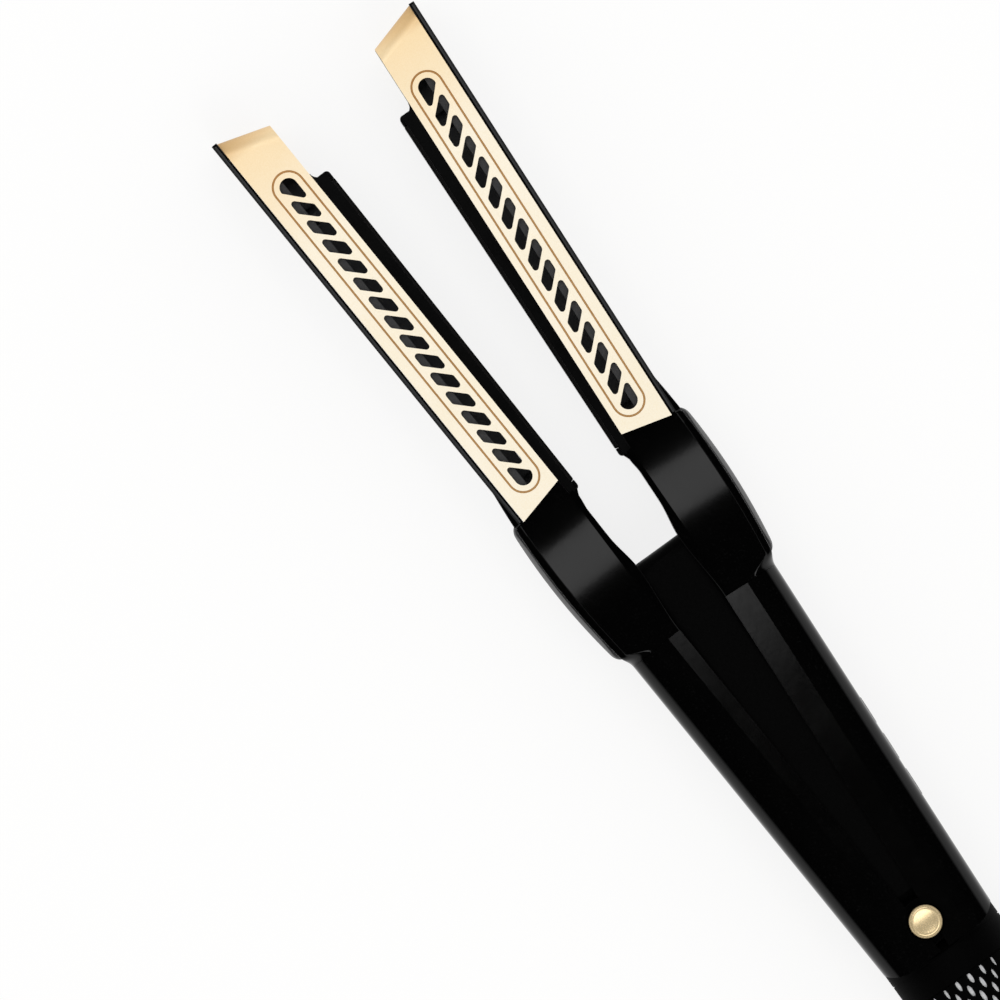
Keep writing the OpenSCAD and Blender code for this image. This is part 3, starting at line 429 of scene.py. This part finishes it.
softEdges = {
    # node: (new name, body, slot, edge radius)
    "core_front_shell": ("coreFrontShell", "root", "core_matte", 0.3),
    "core_rear_shell": ("coreRearShell", "root", "core_matte", 0.3),
    "left_heater_plate": ("leftHeaterPlate", "left_plate", "plate_coating", 0.5),
    "right_heater_plate": ("rightHeaterPlate", "right_plate", "plate_coating", 0.5),
    "left_tip_cap": ("leftTipCap", "left_arm", "black_satin", 0.15),
    "right_tip_cap": ("rightTipCap", "right_arm", "black_satin", 0.15),
    "control_panel": ("controlPanel", "right_arm", "black_gloss", 0.12),
    "display_lens": ("displayLens", "right_arm", "lens", 0.15),
    "tail_end_cap": ("tailEndCap", "root", "black_gloss", 0.2),
    "power_button": ("powerButton", "power_key", "black_satin", 0.3),
    "heat_button": ("heatButton", "heat_key", "black_satin", 0.3),
    "air_button": ("airButton", "air_key", "black_satin", 0.3),
}
for nodeName, (name, body, slot, width) in softEdges.items():
    softened(nodeName, name, body, slot, width)
print("softened:", len(softEdges))

# Plate carriers, whose end stops lie flush with the plate
carrierSize = {
    # each stop: start, end, height of its face
    "stops": ((144.06, 146.55, -1.42), (246.95, 249.5, -2.5)),
    "back": 1.5, "half": 11.2, "round": 1.1, "edge": 0.25,
}


def addBlock(bm, low, high, isRound, width, segments):
    # a box between two corners, its edges rounded where the test says so
    made = bmesh.ops.create_cube(bm, size=1)["verts"]
    bmesh.ops.scale(bm, vec=Vector(high) - Vector(low), verts=made)
    bmesh.ops.translate(bm, vec=(Vector(low) + Vector(high)) / 2, verts=made)
    bevel(bm, [e for e in bm.edges if all(v in made for v in e.verts) and isRound(e)], width, segments)


def plateCarrier(side):
    s = carrierSize
    bm = copyOf(side + "_plate_carrier")
    bm.transform(toArm[side])
    if side == "right":
        bmesh.ops.reverse_faces(bm, faces=bm.faces)
    bevel(bm, sharpEdges(bm, cornerDeg), s["edge"])
    for start, end, face in s["stops"]:
        away = start if start < plateMid else end
        addBlock(bm, (start, face, -s["half"]), (end, s["back"], s["half"]),
                 lambda e: all(abs(v.co.x - away) < closeBy and v.co.y < 0 for v in e.verts), s["round"], 4)
    newPiece(side + "PlateCarrier", bm, side + "_arm", "black_satin", onArm[side], [side + "_plate_carrier"])


def plateCushions(side):
    piece = newPiece(side + "PlateCushions", copyOf(side + "_plate_cushions"), side + "_arm", "silicone",
                     stands=[side + "_plate_cushions"])
    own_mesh(piece)


# Tail housing with its seam
tailSize = {"seam": -9.45, "seamWide": 0.22, "seamDeep": 0.3, "skinFrom": 16, "edge": 0.25}


def tailHousing():
    s = tailSize
    bm = copyOf("tail_housing")
    bevel(bm, sharpEdges(bm, cornerDeg), s["edge"])
    for off in (-s["seamWide"], 0, s["seamWide"]):
        cutAt(bm, (s["seam"] + off, 0, 0), (1, 0, 0))
    for v in bm.verts:
        out = sqrt(v.co.y ** 2 + v.co.z ** 2)
        if abs(v.co.x - s["seam"]) < closeBy and out > s["skinFrom"]:
            v.co.y, v.co.z = v.co.y * (1 - s["seamDeep"] / out), v.co.z * (1 - s["seamDeep"] / out)
    newPiece("tailHousing", bm, "root", "black_gloss", stands=["tail_housing"], finishes=[tailAbs])


for side in sides:
    plateCarrier(side)
    plateCushions(side)
tailHousing()
print("carriers and tail housing done")

# Vented panels
panelSize = {
    "half": 14.0, "thick": 1.6, "inner": 1.9, "outer": 15.6, "edge": 0.16, "edgeDeg": 65,
    "baseOuter": 146.22, "baseSlant": 11.6, "tipOuter": 272.6, "tipSlant": 19.3, "roll": 4.5, "rollSteps": 9,
    "ventMid": 8.2, "ventHalf": 2.47, "ventFirst": 155.9, "ventPitch": 6.36, "ventCount": 16,
    "barThick": 1.2, "barDeg": 43.5, "rowBefore": 0.3, "rowAfter": 0.8,
    "tightCorner": 0.8, "wideCorner": 1.15, "endCorner": 0.75, "bowDeg": 172, "bowFoot": (0.15, 0.05),
    "grooveHalf": 4.2, "grooveWide": 0.56, "grooveFloor": 0.45, "grooveDeep": 0.32,
    "grooveShadeFinish": 1, "undersideShadeFinish": 2,    # places in the panel's list of finishes
}


def ventRow():
    # middles of the round ends of the row
    s = panelSize
    lastVent = s["ventFirst"] + (s["ventCount"] - 1) * s["ventPitch"]
    return s["ventFirst"] - s["rowBefore"], lastVent + s["rowAfter"]


def endCorner(x, y, lean, r):
    # the acute corner at (x, y) between the row's straight side and a slanted bar
    return rounded([(x - 2 * lean, -y, 0), (x, y, r), (x - 2 * y, y, 0)], 5)[1:-1]


def ventLoop(i):
    # one slot between two slanted bars; the outer sides of the first and the last one are round
    s = panelSize
    y, mid = s["ventHalf"], s["ventMid"]
    x = s["ventFirst"] + i * s["ventPitch"]
    lean = y / tan(radians(s["barDeg"]))
    side = (s["ventPitch"] - s["barThick"] / sin(radians(s["barDeg"]))) / 2
    if 0 < i < s["ventCount"] - 1:
        tight, wide = s["tightCorner"], s["wideCorner"]
        points = rounded([(x - lean - side, -y, tight), (x - lean + side, -y, wide),
                          (x + lean + side, y, tight), (x + lean - side, y, wide)])
    else:
        rowStart, rowEnd = ventRow()
        bowMid = rowStart if i == 0 else 2 * x - rowEnd
        along, up = s["bowFoot"]
        points = arc((bowMid, 0), y, 90, 90 + s["bowDeg"], 14) + [(bowMid + along, up - y)]
        points += endCorner(x + side + lean, y, lean, s["endCorner"])
        if i > 0:
            points = [(2 * x - px, -py) for px, py in points]    # the last slot is the first one turned round
    return [(px, py + mid) for px, py in points]


def ventedPanel(side, face):
    s = panelSize
    bm = bmesh.new()
    span = s["outer"] - s["inner"]
    tipTan, baseTan = tan(radians(s["tipSlant"])), tan(radians(s["baseSlant"]))
    outline = [(s["baseOuter"], s["outer"]), (s["baseOuter"] + span * baseTan, s["inner"]),
               (s["tipOuter"] - span * tipTan, s["inner"]), (s["tipOuter"], s["outer"])]
    edge = loopOf(bm, [(x, y, 0) for x, y in outline])
    # the groove round the row, in four rings: its two rims and the sides of its floor
    w, d = s["grooveWide"] / 2, s["grooveDeep"]
    floor = w * s["grooveFloor"]
    rowStart, rowEnd = ventRow()
    rings = []
    for off, z in ((w, 0), (floor, -d), (-floor, -d), (-w, 0)):
        ring = stadium(rowStart, rowEnd, s["ventMid"], s["grooveHalf"] + off)
        rings.append(loopOf(bm, [(x, y, z) for x, y in ring]))
    fillLoops(bm, edge + rings[0])
    # the groove's walls and floor take the darker gold, painted shade
    for a, b in zip(rings, rings[1:]):
        for f in bmesh.ops.bridge_loops(bm, edges=a + b)["faces"]:
            f.material_index = s["grooveShadeFinish"]
    vents = [e for i in range(s["ventCount"]) for e in loopOf(bm, [(x, y, 0) for x, y in ventLoop(i)])]
    fillLoops(bm, rings[3] + vents)
    # the tip rolls down by a quarter turn
    normal = Vector((cos(radians(s["tipSlant"])), -sin(radians(s["tipSlant"])), 0))
    tipPoint = Vector((s["tipOuter"], s["outer"], 0))
    r = s["roll"]
    for k in range(s["rollSteps"]):
        cutAt(bm, tipPoint - normal * (r - r * sin(radians(90 * k / s["rollSteps"]))), normal)
    for v in bm.verts:
        reach = (v.co - tipPoint).dot(normal) + r
        if reach > 0:
            v.co.z -= r - sqrt(max(0, r * r - min(reach, r) ** 2))
    bmesh.ops.recalc_face_normals(bm, faces=bm.faces)
    if sum(f.normal.z * f.calc_area() for f in bm.faces) < 0:
        bmesh.ops.reverse_faces(bm, faces=bm.faces)
    bmesh.ops.solidify(bm, geom=bm.faces[:], thickness=s["thick"])
    # painted shade: faces turned inward take the black
    for f in bm.faces:
        if f.normal.z < -0.5:
            f.material_index = s["undersideShadeFinish"]
    bevel(bm, sharpEdges(bm, s["edgeDeg"]), s["edge"])
    bmesh.ops.translate(bm, verts=bm.verts, vec=(0, 0, s["half"]))
    newPiece(side + face.capitalize() + "VentedPanel", bm, side + "_arm", "champagne_metal",
             facing(onArm[side], face), [f"{side}_{face}_panel"],
             [finish["champagne_metal"], grooveShadeGold, panelUndersideShade])


for side in sides:
    for face in faces:
        ventedPanel(side, face)
print("vented panels done")

# Arm frames
armSize = {
    "baseStart": 99.05, "shoulderEnd": 103.0, "rampStart": 112.0, "baseEnd": 146.2, "baseSlant": 11.6,
    "baseTop": 16.9, "armHalf": 14.0, "handleHalf": 17.2, "handleCorner": 7.0,
    # outer edge of the front face and of the ledge below it, each an arc about edgeMid
    "edgeMid": 125.0, "edgeCrown": 17.75, "edgeRadius": 267.0, "outerEdge": 0.22,
    "ledgeCrown": 19.6, "ledgeRadius": 210.0, "ledgeFall": 0.5,
    # inner side: y of its upper edge over a run, and how far its middle reaches in at each x
    "innerTop": (2.75, 1.95), "innerTopRun": (117, 141), "innerFall": 0.5, "innerEdge": 0.2,
    "innerBulge": 0.3, "innerLeast": 0.1,
    "innerReach": [(99, 1.8), (119, 0.0), (129, 0.8), (138, 0.7), (142, 0.2), (144.6, -0.7), (144.7, 1.8),
                   (152, 1.8)],
    "pocketStart": 144.65, "pocketDepth": 5.2, "pocketHalf": 11.8,    # room for the end of the plate
    "railInner": 15.65, "railOuter": 17.2, "railEdge": 0.3, "railEnd": 272.9, "railBack": 0.2,
    "railSink": (0.4, 0.3),    # how far the rail lies inward and down within the base
    "highlightBand": (16.1, 16.8), "highlightBandRun": (146.6, 272.4), "highlightBandThick": 0.3, "highlightBandRise": 0.02,
    "highlightBandEdge": 0.14,
    # stations along the base and along the rail: start, step and count, or single ones
    "shoulderRun": (99.05, 0.5, 10), "baseRun": (105, 1.25, 31),
    "pocketStations": [143.2, 143.9, 144.6, 144.7, 146, 148, 150, 152],
    "railStart": 138, "railRun": (145, 0.75, 19), "railPlain": 200,
    "tipEdgeDeg": 60, "shadeDeg": 18,
}


def spaced(start, step, count):
    return [start + k * step for k in range(count)]


def between(a, b, share):
    return a + (b - a) * share


def progress(x, start, end):
    # how far x has come from start to end, 0 to 1
    return max(0, min(1, (x - start) / (end - start)))


def smoothed(x, start, end):
    t = progress(x, start, end)
    return t * t * (3 - 2 * t)


def baseTop(x):
    s = armSize
    return between(s["baseTop"], s["armHalf"], (1 - cos(pi * progress(x, s["rampStart"], s["baseEnd"]))) / 2)


def innerMid(x):
    # how far the inner side reaches to the middle line of the arm, seen from the front
    steps = armSize["innerReach"]
    for (x0, y0), (x1, y1) in zip(steps, steps[1:]):
        if x <= x1:
            return between(y0, y1, smoothed(x, x0, x1))
    return steps[-1][1]


def outerHalf(x, top):
    # from the edge of the front face over the sloping ledge to the middle of the outer side
    s = armSize
    away = (x - s["edgeMid"]) ** 2 / 2
    edge = s["edgeCrown"] - away / s["edgeRadius"]
    ledge = s["ledgeCrown"] - away / s["ledgeRadius"]
    if x > s["baseEnd"]:
        straight = s["railOuter"] - s["railEdge"]
        edge = max(edge, straight) if ledge < s["railOuter"] else straight
        ledge = max(ledge, s["railOuter"])
    fall = s["ledgeFall"] * (ledge - edge)
    r = s["outerEdge"]
    base = arc((edge - r, top - r), r, 90, 30, 3)
    base += [(between(edge, ledge, k / 4), top - r - fall * k / 4) for k in (1, 2, 3)]
    base += arc((ledge - r, top - r - fall - r), r, 60, 0, 3)
    base += [(ledge, (top - 2 * r - fall) * k / 4) for k in (3, 2, 1)]
    # the section of the handle half, into which the base flows at its shoulder
    flat, r = s["handleHalf"] - s["handleCorner"], s["handleCorner"]
    scale = top / s["handleHalf"]
    turns = [radians(90 - a) for a in (0, 3, 7, 12, 22, 33, 44, 56, 68, 80, 90)]
    shell = [(flat + r * cos(turn), (flat + r * sin(turn)) * scale) for turn in turns]
    shell += [(s["handleHalf"], flat * scale * k / 3) for k in (2, 1, 0)]
    t = smoothed(x, s["baseStart"], s["shoulderEnd"])
    return [(between(a[0], b[0], t), between(a[1], b[1], t)) for a, b in zip(shell, base)]


def baseSection(x):
    # half of the section, from the middle of the inner side over the front to the middle of the outer side
    s = armSize
    top, edge = baseTop(x), s["innerEdge"]
    yTop = between(*s["innerTop"], progress(x, *s["innerTopRun"]))
    yMid = min(innerMid(x), yTop - s["innerLeast"])
    foot = top - s["innerFall"] * (yTop - yMid) - edge
    if x > s["pocketStart"]:
        half = [(s["pocketDepth"], s["pocketHalf"] * k / 6) for k in range(7)]
    else:
        half = [(yMid + s["innerBulge"] * (1 - (k / 6) ** 2), (foot - edge) * k / 6) for k in range(7)]
    # the inner side's upper part slopes back between two small chords
    half += [(yMid + 0.3 * edge, foot), (yMid + edge, foot + 0.7 * edge)]
    half += [(between(yMid + edge, yTop, k / 3), foot + 0.7 * edge + (top - foot - edge) * k / 3)
             for k in (1, 2, 3)]
    half += [(yTop + edge, top)]
    outer = outerHalf(x, top)
    half += [(between(yTop + edge, outer[0][0], k / 4), top) for k in (1, 2, 3)]
    return half + outer


def lofted(bm, sections):
    rings = [loopOf(bm, points) for points in sections]
    for a, b in zip(rings, rings[1:]):
        bmesh.ops.bridge_loops(bm, edges=a + b)
    for ring in (rings[0], rings[-1]):
        bmesh.ops.contextual_create(bm, geom=list(dict.fromkeys(v for e in ring for v in e.verts)))


def wholeSection(x, half):
    rear = [(y, -z) for y, z in reversed(half[1:-1])]
    return [(x, y, z) for y, z in half + rear]


def addRail(bm):
    # the rail along the outer side of the arm, which takes up the swelling where the base ends
    s = armSize
    rail = []
    for x in [s["railStart"]] + spaced(*s["railRun"]) + [s["railPlain"], s["railEnd"]]:
        inner = [(s["railInner"], 0), (s["railInner"], s["armHalf"] - s["railBack"]),
                 (s["railInner"] + s["railBack"], s["armHalf"])]
        outer = outerHalf(x, s["armHalf"])
        if x < s["baseEnd"]:
            inward, down = s["railSink"]
            outer = [(y - inward, z - down) for y, z in outer[:-1]]
            outer += [(outer[-1][0], 0)]
        rail.append(wholeSection(x, inner + outer))
    bars = bmesh.new()
    lofted(bars, rail)
    bmesh.ops.recalc_face_normals(bars, faces=bars.faces)
    tip = s["railEnd"] - closeBy
    atTip = [e for e in sharpEdges(bars, s["tipEdgeDeg"]) if all(v.co.x > tip for v in e.verts)]
    bevel(bars, atTip, s["railEdge"])
    spare = bpy.data.meshes.new("spare")
    bars.to_mesh(spare)
    bars.free()
    bm.from_mesh(spare)
    bpy.data.meshes.remove(spare)


def armFrame(side):
    s = armSize
    bm = bmesh.new()
    stations = spaced(*s["shoulderRun"]) + spaced(*s["baseRun"]) + s["pocketStations"]
    lofted(bm, [wholeSection(x, baseSection(x)) for x in stations])
    slant = Vector((cos(radians(s["baseSlant"])), sin(radians(s["baseSlant"])), 0))
    cut = cutAt(bm, (s["baseEnd"], panelSize["outer"], 0), slant, dropOuter=True)
    bmesh.ops.contextual_create(bm, geom=[e for e in cut if isinstance(e, bmesh.types.BMEdge)])
    bmesh.ops.recalc_face_normals(bm, faces=bm.faces)
    addRail(bm)
    newPiece(side + "ArmFrame", bm, side + "_arm", "black_gloss", onArm[side], [side + "_arm_frame"],
             sharpDeg=s["shadeDeg"])


def railHighlightStrip(side, face):
    # painted highlight: a thin grey strip laid on the rail stands in for the light caught along the rail's
    # crown
    s = armSize
    bm = bmesh.new()
    (x0, x1), (y0, y1) = s["highlightBandRun"], s["highlightBand"]
    top = s["armHalf"] + s["highlightBandRise"]
    addBlock(bm, (x0, y0, top - s["highlightBandThick"]), (x1, y1, top),
             lambda e: all(v.co.z > s["armHalf"] for v in e.verts), s["highlightBandEdge"], 3)
    newPiece(side + face.capitalize() + "RailStrip", bm, side + "_arm", "grey_plastic",
             facing(onArm[side], face), finishes=[railHighlightGrey])


padSize = {"x0": 102.0, "x1": 147.2, "half": 10.0, "crown": 21.05, "planRadius": 171.0, "sideRadius": 50.5,
           "floor": 16.8, "leastRise": 0.1, "endRound": 3.0, "endFall": 2.3, "edge": 0.6,
           # stations, counted from either end
           "fromEnd": [0.08, 0.25, 0.5, 0.8, 1.2, 1.7, 2.3, 3.0, 4.0, 5.2, 6.6, 8.2, 10.0]}


def thumbPad(side):
    s = padSize
    bm = bmesh.new()
    mid, run = (s["x0"] + s["x1"]) / 2, s["x1"] - s["x0"]
    last = s["fromEnd"][-1]
    stations = s["fromEnd"] + [last + (run - 2 * last) * k / 8 for k in range(1, 8)]
    stations += [run - d for d in reversed(s["fromEnd"])]
    sections = []
    for d in stations:
        x, inset = s["x0"] + d, min(d, run - d)
        wide = sqrt(s["half"] ** 2 - max(0, s["half"] - inset) ** 2)
        lack = max(0, 1 - inset / s["endRound"])
        crown = s["crown"] - (x - mid) ** 2 / (2 * s["planRadius"])
        crown -= s["endFall"] * (1 - sqrt(1 - lack * lack))
        edge = min(s["edge"], wide / 3)
        flank = crown - wide * wide / (2 * s["sideRadius"])
        half = [(s["floor"], 0), (s["floor"], wide), (max(flank - edge, s["floor"] + s["leastRise"]), wide)]
        half += [(flank - edge * (1 - sin(radians(a))), wide - edge * (1 - cos(radians(a))))
                 for a in (30, 60, 90)]
        across = [(wide - edge) * k / 5 for k in (4, 3, 2, 1, 0)]
        half += [(crown - z * z / (2 * s["sideRadius"]), z) for z in across]
        sections.append(wholeSection(x, half))
    lofted(bm, sections)
    bmesh.ops.recalc_face_normals(bm, faces=bm.faces)
    newPiece(side + "ThumbPad", bm, side + "_arm", "black_satin", onArm[side], [side + "_thumb_pad"],
             [thumbRubber])


for side in sides:
    thumbPad(side)
    armFrame(side)
    for face in faces:
        railHighlightStrip(side, face)
print("arm frames done")

# Handle halves
handleSize = {"half": 17.2, "wall": 2.2, "front": 99.0, "innerEdge": 1.8, "stripDeg": 5.0, "edge": 0.25,
              "edgeMargin": 0.15, "stripWide": {"left": 3.8, "right": 6.8}}


def handleShell(side):
    # beside the inner edge the front and rear faces slope a little towards the middle
    s = handleSize
    wide = s["stripWide"][side]
    bm = copyOf(side + "_handle_shell")
    bm.transform(toArm[side])
    behind = s["front"] - closeBy    # the edges of the front end itself stay sharp
    bevel(bm, [e for e in sharpEdges(bm, cornerDeg) if any(v.co.x < behind for v in e.verts)], s["edge"])
    for reach in (s["edge"] + s["edgeMargin"], wide):
        cutAt(bm, (0, s["innerEdge"] + reach, 0), (0, 1, 0))
    for v in bm.verts:
        across = min(wide, wide - (v.co.y - s["innerEdge"]))
        if across > 0 and abs(v.co.z) > s["half"] - s["wall"] / 2:
            v.co.z -= copysign(across * tan(radians(s["stripDeg"])), v.co.z)
    bm.transform(toArm[side].inverted())
    newPiece(side + "HandleHalf", bm, side + "_arm", "black_gloss", stands=[side + "_handle_shell"],
             broad=120)


for side in sides:
    handleShell(side)
print("handle halves done")


# Turned pieces
def turned(profile):
    # profile is (radius, height) from the axis outwards and back; spun a full turn
    bm = bmesh.new()
    verts = [bm.verts.new((r, 0, h)) for r, h in profile]
    edges = [bm.edges.new(pair) for pair in zip(verts, verts[1:])]
    bmesh.ops.spin(bm, geom=verts + edges, cent=(0, 0, 0), axis=(0, 0, 1), angle=2 * pi, steps=96,
                   use_merge=True, use_duplicate=False)
    bmesh.ops.remove_doubles(bm, verts=bm.verts, dist=1e-4)
    bmesh.ops.recalc_face_normals(bm, faces=bm.faces)
    return bm


capSize = {"radius": 4.4, "top": {"front": 17.8, "rear": 17.2}, "low": 15.2, "bore": 2.05, "edge": 1.0,
           "dish": {"front": 0.3, "rear": 0.12}, "dishRadius": 3.3}


def hingeCap(face):
    s = capSize
    top, dish, edge = s["top"][face], s["dish"][face], s["edge"]
    profile = [(s["dishRadius"] * k / 10, top - dish * (1 - (k / 10) ** 2)) for k in range(11)]
    profile += [(s["radius"] - edge + edge * sin(radians(a)), top - edge * (1 - cos(radians(a))))
                for a in range(10, 91, 10)]
    profile += [(s["radius"], s["low"]), (s["bore"], s["low"])]
    newPiece(face + "HingeCap", turned(profile), "root", "champagne_metal", facing(onCore, face),
             [face + "_pivot_cap"], [capGold])


for face in faces:
    hingeCap(face)


# Grille
grilleSize = {"outer": 16.5, "inner": 15.72, "x0": -62.0, "x1": -17.12, "around": 26, "pitch": 2.91,
              "leafLong": 3.3, "leafWide": 1.25, "first": -18.6, "shiftDeg": 3.5}


def leafCell(bm, cx, cy, long, wide):
    # one diamond of the sheet with its leaf-shaped hole
    s = grilleSize
    steps = 4
    corners = [(long, 0), (0, wide), (-long, 0), (0, -wide)]
    outer, inner = [], []
    for i, (x, y) in enumerate(corners):
        nextX, nextY = corners[(i + 1) % 4]
        for k in range(steps):
            t = k / steps
            outer.append((cx + between(x, nextX, t), cy + between(y, nextY, t), 0))
            turn = radians(90 * (i + t))
            inner.append((cx + s["leafLong"] / 2 * cos(turn), cy + s["leafWide"] / 2 * sin(turn), 0))
    ringOut, ringIn = [bm.verts.new(p) for p in outer], [bm.verts.new(p) for p in inner]
    for i in range(len(outer)):
        bm.faces.new((ringOut[i - 1], ringOut[i], ringIn[i], ringIn[i - 1]))


def grille():
    # flat sheet of diamond cells in half-offset rows, rolled round the tail and trimmed at both ends
    s = grilleSize
    bm = bmesh.new()
    wide = 2 * pi * s["outer"] / s["around"] / 2
    rows = int((s["x1"] - s["x0"]) / s["pitch"]) + 4    # with some to spare for the trim
    for row in range(rows):
        for k in range(s["around"]):
            leafCell(bm, s["first"] + (1 - row) * s["pitch"], (2 * k + row % 2) * wide, s["pitch"], wide)
    for v in bm.verts:
        angle = v.co.y / s["outer"] + radians(s["shiftDeg"])
        v.co = Vector((v.co.x, s["outer"] * sin(angle), s["outer"] * cos(angle)))
    bmesh.ops.remove_doubles(bm, verts=bm.verts, dist=1e-3)
    for x, way in ((s["x0"], -1), (s["x1"], 1)):
        cutAt(bm, (x, 0, 0), (way, 0, 0), dropOuter=True)
    bmesh.ops.recalc_face_normals(bm, faces=bm.faces)
    middles = [(f.normal, f.calc_center_median()) for f in bm.faces]
    if sum(normal.dot(Vector((0, middle.y, middle.z))) for normal, middle in middles) < 0:
        bmesh.ops.reverse_faces(bm, faces=bm.faces)
    bmesh.ops.solidify(bm, geom=bm.faces[:], thickness=s["outer"] - s["inner"])
    newPiece("tailGrille", bm, "root", "black_satin", stands=["grille_sleeve"], finishes=[tailAbs])


filterSize = {"outer": 15.5, "inner": 15.26, "x0": -57.8, "x1": -17.5}


def filterCloth():
    # sleeve of woven wire right behind the grille
    s = filterSize
    corners = [(s["inner"], -s["x1"]), (s["outer"], -s["x1"]), (s["outer"], -s["x0"]), (s["inner"], -s["x0"])]
    bm = turned(corners + corners[:1])
    place = onCore @ Matrix.Rotation(radians(-90), 4, "Y")
    newPiece("filterCloth", bm, "root", "filter_mesh", place, ["filter_sleeve"])


grille()
filterCloth()
print("grille and filter done")

# The CAD nodes that stay
for node in nodes.values():
    slotName = next((m.name.split(".")[0] for m in node.data.materials if m), None)
    if slotName in finish:
        for i in range(len(node.data.materials)):
            node.data.materials[i] = finish[slotName]
print("nodes dressed")

# Floor, light, camera
studio = {
    "frameWide": 0.260, "lens": 900.0, "sensor": 36.0, "centre": (0.15338, 0.02537, 0.022),
    "turnDeg": -125.88, "clipEnd": 100, "floorHalf": 20, "floorHex": "f4f3f1", "floorWhite": 0.82,
    "skyLevel": 0.8, "hoodLevel": 0.004, "hoodFrom": 0.04, "hoodTo": 0.36, "lampHeight": 1.3,
    # lamp: middle x, middle y, length along x, along y, brightness, the one piece that it lights
    "lamps": {"boxTips": (0.66, 0.0, 0.52, 0.9, 2.6, None), "boxTail": (-0.42, 0.0, 0.46, 0.9, 2.6, None),
              "stripLeft": (0.224, 0.232, 0.272, 0.08, 3.0, "rightHandleHalf"),
              "stripRight": (0.233, -0.232, 0.254, 0.08, 2.7, "leftHandleHalf")},
}
white = (1, 1, 1, 1)


def seenDirectly(tree):
    # the kinds of ray, and 1 for what the camera sees itself, in a reflection or through glass
    path = addNode(tree, "LightPath")
    first = calc(tree, "MAXIMUM", links={0: path.outputs["Is Camera Ray"], 1: path.outputs["Is Glossy Ray"]})
    return path, calc(tree, "MAXIMUM", links={0: first, 1: path.outputs["Is Transmission Ray"]})


def makeFloor():
    # paper that takes the object's shadow and looks nearly as white as the room
    bm = bmesh.new()
    bmesh.ops.create_grid(bm, x_segments=2, y_segments=2, size=studio["floorHalf"])
    mesh = bpy.data.meshes.new("floor")
    bm.to_mesh(mesh)
    bm.free()
    floor = bpy.data.objects.new("floor", mesh)
    scene.collection.objects.link(floor)
    material = bpy.data.materials.new("paperFloor")
    tree = emptyTree(material)
    paper = addNode(tree, "BsdfDiffuse", values={"Color": linear(studio["floorHex"])})
    glow = addNode(tree, "Emission", values={"Color": white, "Strength": 1.0})
    share = calc(tree, "MULTIPLY", {1: studio["floorWhite"]}, {0: seenDirectly(tree)[1]})
    mix = addNode(tree, "MixShader", links={0: share, 1: paper.outputs["BSDF"], 2: glow.outputs["Emission"]})
    addNode(tree, "OutputMaterial", links={"Surface": mix.outputs["Shader"]})
    mesh.materials.append(material)


def makeLamp(name, x, y, long, wide, level, only):
    # an area lamp that faces down, as bright as level wherever it is reflected
    data = bpy.data.lights.new(name, "AREA")
    data.shape, data.size, data.size_y = "RECTANGLE", long, wide
    data.energy = level * pi * long * wide
    lamp = bpy.data.objects.new(name, data)
    lamp.location = (x, y, studio["lampHeight"])
    lamp.visible_camera = False
    scene.collection.objects.link(lamp)
    if only:
        lit = bpy.data.collections.new(name + "Lights")
        lit.objects.link(bpy.data.objects[only])
        lamp.light_linking.receiver_collection = lit


def makeWorld():
    # pale room that the eye sees white, with a dark hood overhead where the camera hangs
    s = studio
    world = bpy.data.worlds.new("whiteRoom")
    scene.world = world
    tree = emptyTree(world)
    way = addNode(tree, "SeparateXYZ", links={"Vector": addNode(tree, "TexCoord").outputs["Generated"]})
    fade = {"From Min": s["hoodFrom"], "From Max": s["hoodTo"], "To Min": 1, "To Max": s["hoodLevel"]}
    hood = addNode(tree, "MapRange", {"interpolation_type": "SMOOTHSTEP"}, fade, {"Value": way.outputs["Z"]})
    path, seen = seenDirectly(tree)
    level = calc(tree, "MAXIMUM", links={0: path.outputs["Is Camera Ray"], 1: hood.outputs["Result"]})
    eye = addNode(tree, "Background", values={"Color": white}, links={"Strength": level})
    room = addNode(tree, "Background", values={"Color": white, "Strength": s["skyLevel"]})
    mix = addNode(tree, "MixShader",
                  links={0: seen, 1: room.outputs["Background"], 2: eye.outputs["Background"]})
    addNode(tree, "OutputWorld", links={"Surface": mix.outputs["Shader"]})


def makeCamera():
    s = studio
    camera = bpy.data.objects.new("camera", bpy.data.cameras.new("camera"))
    camera.data.lens = s["lens"]
    camera.data.sensor_width = s["sensor"]
    camera.data.clip_end = s["clipEnd"]
    cx, cy, cz = s["centre"]
    camera.location = (cx, cy, cz + s["frameWide"] * s["lens"] / s["sensor"])
    camera.rotation_euler = (0, 0, radians(s["turnDeg"]))
    scene.collection.objects.link(camera)
    scene.camera = camera


makeFloor()
makeWorld()
makeCamera()
for name, sizes in studio["lamps"].items():
    makeLamp(name, *sizes)
scene.view_settings.view_transform = "Standard"
print("studio ready")
